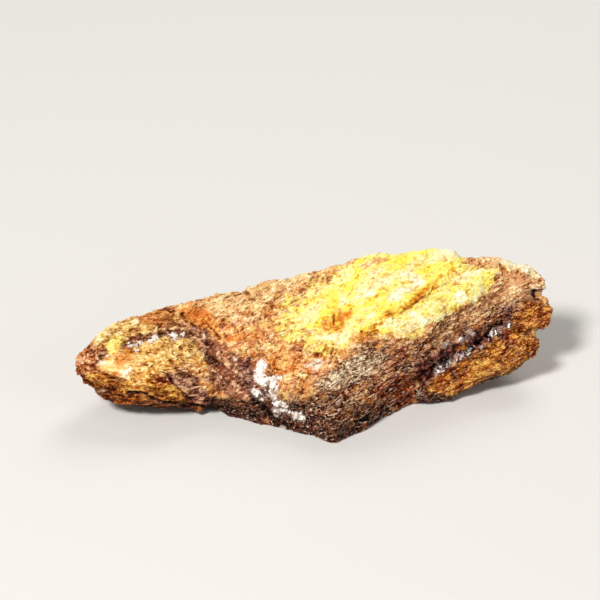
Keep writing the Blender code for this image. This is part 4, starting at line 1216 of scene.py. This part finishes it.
# The white crystals. Small pale tablets of a lead mineral, standing packed together in
# the hollow under the valley, along the seams and on the knob, each rooted in the stone.
CRYSTAL_SIZES = (0.35, 0.95)
CRYSTAL_SPACING = 0.38
SEAM_SPACING = 0.52
SEAM_SHARE = 0.75
SEAM_THIN = 0.6
SEAM_GAPS = 0.9
EDGE_SIZE = 0.26  # of the tablets at a patch's edge, in millimetres
SPOT_MARGIN = 0.2
SPOT_INSET = 0.04
SPOT_TRIES = 9
GREYING_HEIGHTS = {
    # name: heights on the layout plane where the crystals start to turn grey and where they
    # are greyest
    "white_crystals_centre": (2.4, 0.6),
    "white_crystals_centre_left": (0.1, -0.6),
    "white_crystals_lower": (-0.5, -4.0),
    "white_crystals_foot": (-2.0, -6.0),
    "white_crystals_left": (14.0, 6.0),
    "white_crystals_left_upper": (20.0, 6.0),
    "white_crystals_seam": (10.0, -4.0),
    "white_crystals_seam_right": (20.0, 6.0),
}
WHITES = [rgb(255, 254, 252), rgb(255, 254, 252), rgb(254, 252, 248), rgb(246, 240, 234)]
GREYED_WHITES = [rgb(255, 253, 250), rgb(232, 220, 210), rgb(184, 164, 150), rgb(104, 76, 62)]
BATCH = 50


def wandering(direction, chance, amount):
    """A direction turned a little its own way."""
    return direction + Vector([chance.uniform(-1, 1) for _ in range(3)]) * amount


def crystal(mesh, place, normal, chance, size, thin=1.0):
    """One bevelled tablet, leaning its own way out of the stone."""
    up = wandering(normal, chance, 0.4 / thin ** 3)
    turn = up.to_track_quat("Z", "X").to_matrix().to_4x4()
    spin = Matrix.Rotation(chance.uniform(0, math.tau), 4, "Z")
    sides = Matrix.Diagonal((size * chance.uniform(1.1, 2.0) / thin ** 0.5,
                             size * chance.uniform(0.8, 1.2) * thin,
                             size * chance.uniform(0.7, 1.0) / thin, 1))
    skew = Matrix.Identity(4)
    skew[0][1] = chance.uniform(-0.35, 0.35)
    spot = Matrix.Translation(place + normal * size * chance.uniform(0.0, 0.35))
    made = bmesh.ops.create_cube(mesh, size=1.0, matrix=spot @ turn @ spin @ sides @ skew)
    edges = list({edge for vert in made["verts"] for edge in vert.link_edges})
    rounded = bmesh.ops.bevel(mesh, geom=edges, offset=size * 0.09 * thin, affect="EDGES",
                              segments=1, profile=0.5, material=-1)
    return rounded["verts"]


def gathered(name, makers, colours):
    """One piece from many small shapes, each in its own colour, made in batches because
    big meshes are slow."""
    whole = bmesh.new()
    whole.verts.layers.float_color.new("tint")
    for start in range(0, len(makers), BATCH):
        batch = bmesh.new()
        tint = batch.verts.layers.float_color.new("tint")
        for make, colour in zip(makers[start:start + BATCH], colours[start:start + BATCH]):
            for vert in make(batch):
                vert[tint] = colour
        data = bpy.data.meshes.new("batch")
        batch.to_mesh(data)
        batch.free()
        whole.from_mesh(data)
        bpy.data.meshes.remove(data)
    return object_from(whole, name)


stone_tree = BVHTree.FromObject(stone, bpy.context.evaluated_depsgraph_get())


def on_stone(across, up):
    """The place on the stone's front, and its outward direction, at a layout point."""
    start = Vector((across * MM, 0, 0)) + UPWARD * up * MM + TOWARD * 0.2
    place, normal = stone_tree.ray_cast(start, -TOWARD)[:2]
    return place, normal


def spots_in(outline, spacing, chance):
    """Random points inside an outline, at least the spacing apart."""
    corners = np.array(outline)
    low, high = corners.min(axis=0) - SPOT_MARGIN, corners.max(axis=0) + SPOT_MARGIN
    area = (high - low).prod()
    chosen = []
    for _ in range(int(area / spacing ** 2 * SPOT_TRIES)):
        point = np.array((chance.uniform(low[0], high[0]), chance.uniform(low[1], high[1])))
        if inside(point[None], outline)[0] < SPOT_INSET:
            continue
        if all(np.hypot(*(point - other)) > spacing for other in chosen):
            chosen.append(point)
    return chosen


CLOUDY = rgb(238, 230, 224)
CLEAR = rgb(255, 254, 252)

crystal_finish, tree, surface = new_material("white_crystal")
spot = tree.nodes.new("ShaderNodeTexCoord").outputs["Object"]
cloud = add_range(tree, add_noise(tree, spot, 900), 0.35, 0.62)
colour = add_blend(tree, cloud, CLOUDY, CLEAR, "RGBA")
tint = add_attribute(tree, "tint", "Color")
colour = add_blend(tree, 1.0, colour, tint, "RGBA", "MULTIPLY")
tree.links.new(colour, surface.inputs["Base Color"])
tree.links.new(add_range(tree, cloud, 0.0, 1.0, 0.42, 0.2), surface.inputs["Roughness"])
surface.inputs["Coat Weight"].default_value = 0.3
add_bump(tree, surface, 0.15, 0.08 * MM, add_noise(tree, spot, 3200))

for name, outlines in WHITE_PATCHES.items():
    chance = random.Random(name)
    makers = []
    tints = []
    in_seam = "seam" in name
    spacing = SEAM_SPACING if in_seam else CRYSTAL_SPACING
    thin = SEAM_THIN if in_seam else 1.0
    for outline in outlines:
        for across, up in spots_in(outline, spacing, chance):
            place, normal = on_stone(across, up)
            if in_seam and noise.noise(place / (SEAM_GAPS * MM)) < -0.1:
                continue
            room = inside(np.array([[across, up]]), outline)[0]
            size = chance.uniform(*CRYSTAL_SIZES) * (SEAM_SHARE if in_seam else 1.0)
            size = min(size, EDGE_SIZE + 0.7 * room) * MM
            # crystals lower down take the greyer tints more often
            greyed = ease(*GREYING_HEIGHTS[name], up) > chance.random()
            tints.append(chance.choice(GREYED_WHITES if greyed else WHITES))
            makers.append(partial(crystal, place=place, normal=normal, chance=chance,
                                  size=size, thin=thin))
    cluster = gathered(name.replace("crystals", "tablets"), makers, tints)
    cluster.data.materials.append(crystal_finish)
    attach(cluster, "root")
    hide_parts(name)


# Shards in the seam. Small maroon, lilac and white blades are strewn along the dark seam
# on the right and frost its upper lip, each with its foot in the stone.
SHARD_SIZES = (0.18, 0.42)
SHARD_SPACING = 0.85
SHARD_GAPS = 1.6
SHARD_THIN = 0.5
SHARD_ROUGHNESS = 0.3
LILACS = [rgb(250, 246, 250), rgb(196, 166, 168), rgb(112, 60, 58), rgb(76, 23, 19),
          rgb(58, 16, 12), rgb(48, 12, 9), rgb(36, 8, 6), rgb(28, 6, 5)]
SEAM_SHARDS = [(21.5, 5.0), (23.9, 7.4), (27.2, 8.8), (31.0, 10.9), (35.4, 12.5),
               (38.4, 14.6), (39.6, 15.8), (39.6, 14.2), (36.6, 11.6), (32.0, 8.0),
               (28.6, 6.0), (24.4, 3.4), (22.4, 3.6)]
SEAM_PALE = [(23.2, 3.6), (24.8, 6.2), (28.2, 7.9), (31.0, 8.9), (34.2, 10.4), (35.6, 10.9),
             (33.4, 8.7), (30.2, 7.2), (26.6, 4.9), (24.4, 3.3)]
SEAM_FROST = [(25.1, 9.4), (27.3, 10.2), (30.6, 11.9), (31.6, 11.8), (28.5, 9.9),
              (26.0, 9.0)]
SHARD_BANDS = [
    # (outline, spacing, colours)
    (SEAM_SHARDS, SHARD_SPACING, LILACS[1:]),
    (SEAM_PALE, SHARD_SPACING * 0.6, LILACS[:3]),
    (SEAM_FROST, SHARD_SPACING * 0.8, LILACS),
]

chance = random.Random("shards")
makers = []
shard_colours = []
for outline, spacing, colours in SHARD_BANDS:
    for across, up in spots_in(outline, spacing, chance):
        place, normal = on_stone(across, up)
        if noise.noise(place / (SHARD_GAPS * MM)) < -0.12:
            continue
        size = chance.uniform(*SHARD_SIZES) * MM
        makers.append(partial(crystal, place=place, normal=normal, chance=chance,
                              size=size, thin=SHARD_THIN))
        shard_colours.append(chance.choice(colours))
shards = gathered("seam_shards", makers, shard_colours)
material, tree, surface = new_material("lilac_crystal")
tree.links.new(add_attribute(tree, "tint", "Color"), surface.inputs["Base Color"])
surface.inputs["Roughness"].default_value = SHARD_ROUGHNESS
shards.data.materials.append(material)
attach(shards, "root")


# Loose splinters. Thin broken crystals lie all over the stone along its beds, some pale
# and some dark, thickest on its bedded side, each with its foot in the stone.
SPLINTER_COUNT = 24000
SPLINTER_SIZES = (0.14, 0.30)
SPLINTER_DEPTH = 0.12
SPLINTER_ROUGHNESS = 0.45
SPLINTER_SHINE = 0.15
CLEAR_OF_FLOOR = 0.35 * MM
LIT_SHARE = 0.4


def splinter(mesh, place, normal, chance, size):
    """A low four-sided shard, longest along the beds."""
    up = wandering(normal, chance, 0.6).normalized()
    along = wandering(ALONG_BEDS, chance, 0.45)
    across = up.cross(along).normalized()
    turn = Matrix((across.cross(up), across, up)).transposed().to_4x4()
    sides = Matrix.Diagonal((size * chance.uniform(1.0, 2.4), size * chance.uniform(0.5, 1.1),
                             size * chance.uniform(0.5, 1.0), 1))
    spot = Matrix.Translation(place + normal * size * SPLINTER_DEPTH)
    return bmesh.ops.create_cone(mesh, cap_ends=True, segments=4, radius1=0.6, radius2=0,
                                 depth=1.0, matrix=spot @ turn @ sides)["verts"]


chance = random.Random("splinters")
covered = sum(ease(0.2, 1.0, inside(layout, outline))
              for outline in CRUST_OUTLINES.values()) * seen
off_floor = moved[:, 2] > CLEAR_OF_FLOOR
weights = (0.5 + 0.9 * bedded + 0.4 * seen) * np.clip(1 - covered, 0, 1) * off_floor
weights *= 1 - 0.6 * smooth
chosen = chance.choices(range(len(places)), weights=weights.tolist(), k=SPLINTER_COUNT)
makers = []
splinter_colours = []
shade, body, bright = rock_colours
for index in chosen:
    size = chance.uniform(*SPLINTER_SIZES) * MM
    place = stone.data.vertices[index].co.copy()
    normal = Vector(normals[index])
    makers.append(partial(splinter, place=place, normal=normal, chance=chance, size=size))
    lit = chance.random() < LIT_SHARE
    end = bright if lit else shade
    share = chance.uniform(0.2, 1.0) if lit else chance.uniform(0.1, 0.5)
    splinter_colours.append(body[index] * (1 - share) + end[index] * share)
splinters = gathered("rock_splinters", makers, splinter_colours)
material, tree, surface = new_material("splinter_faces")
tree.links.new(add_attribute(tree, "tint", "Color"), surface.inputs["Base Color"])
surface.inputs["Roughness"].default_value = SPLINTER_ROUGHNESS
surface.inputs["Specular IOR Level"].default_value = SPLINTER_SHINE
splinters.data.materials.append(material)
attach(splinters, "root")
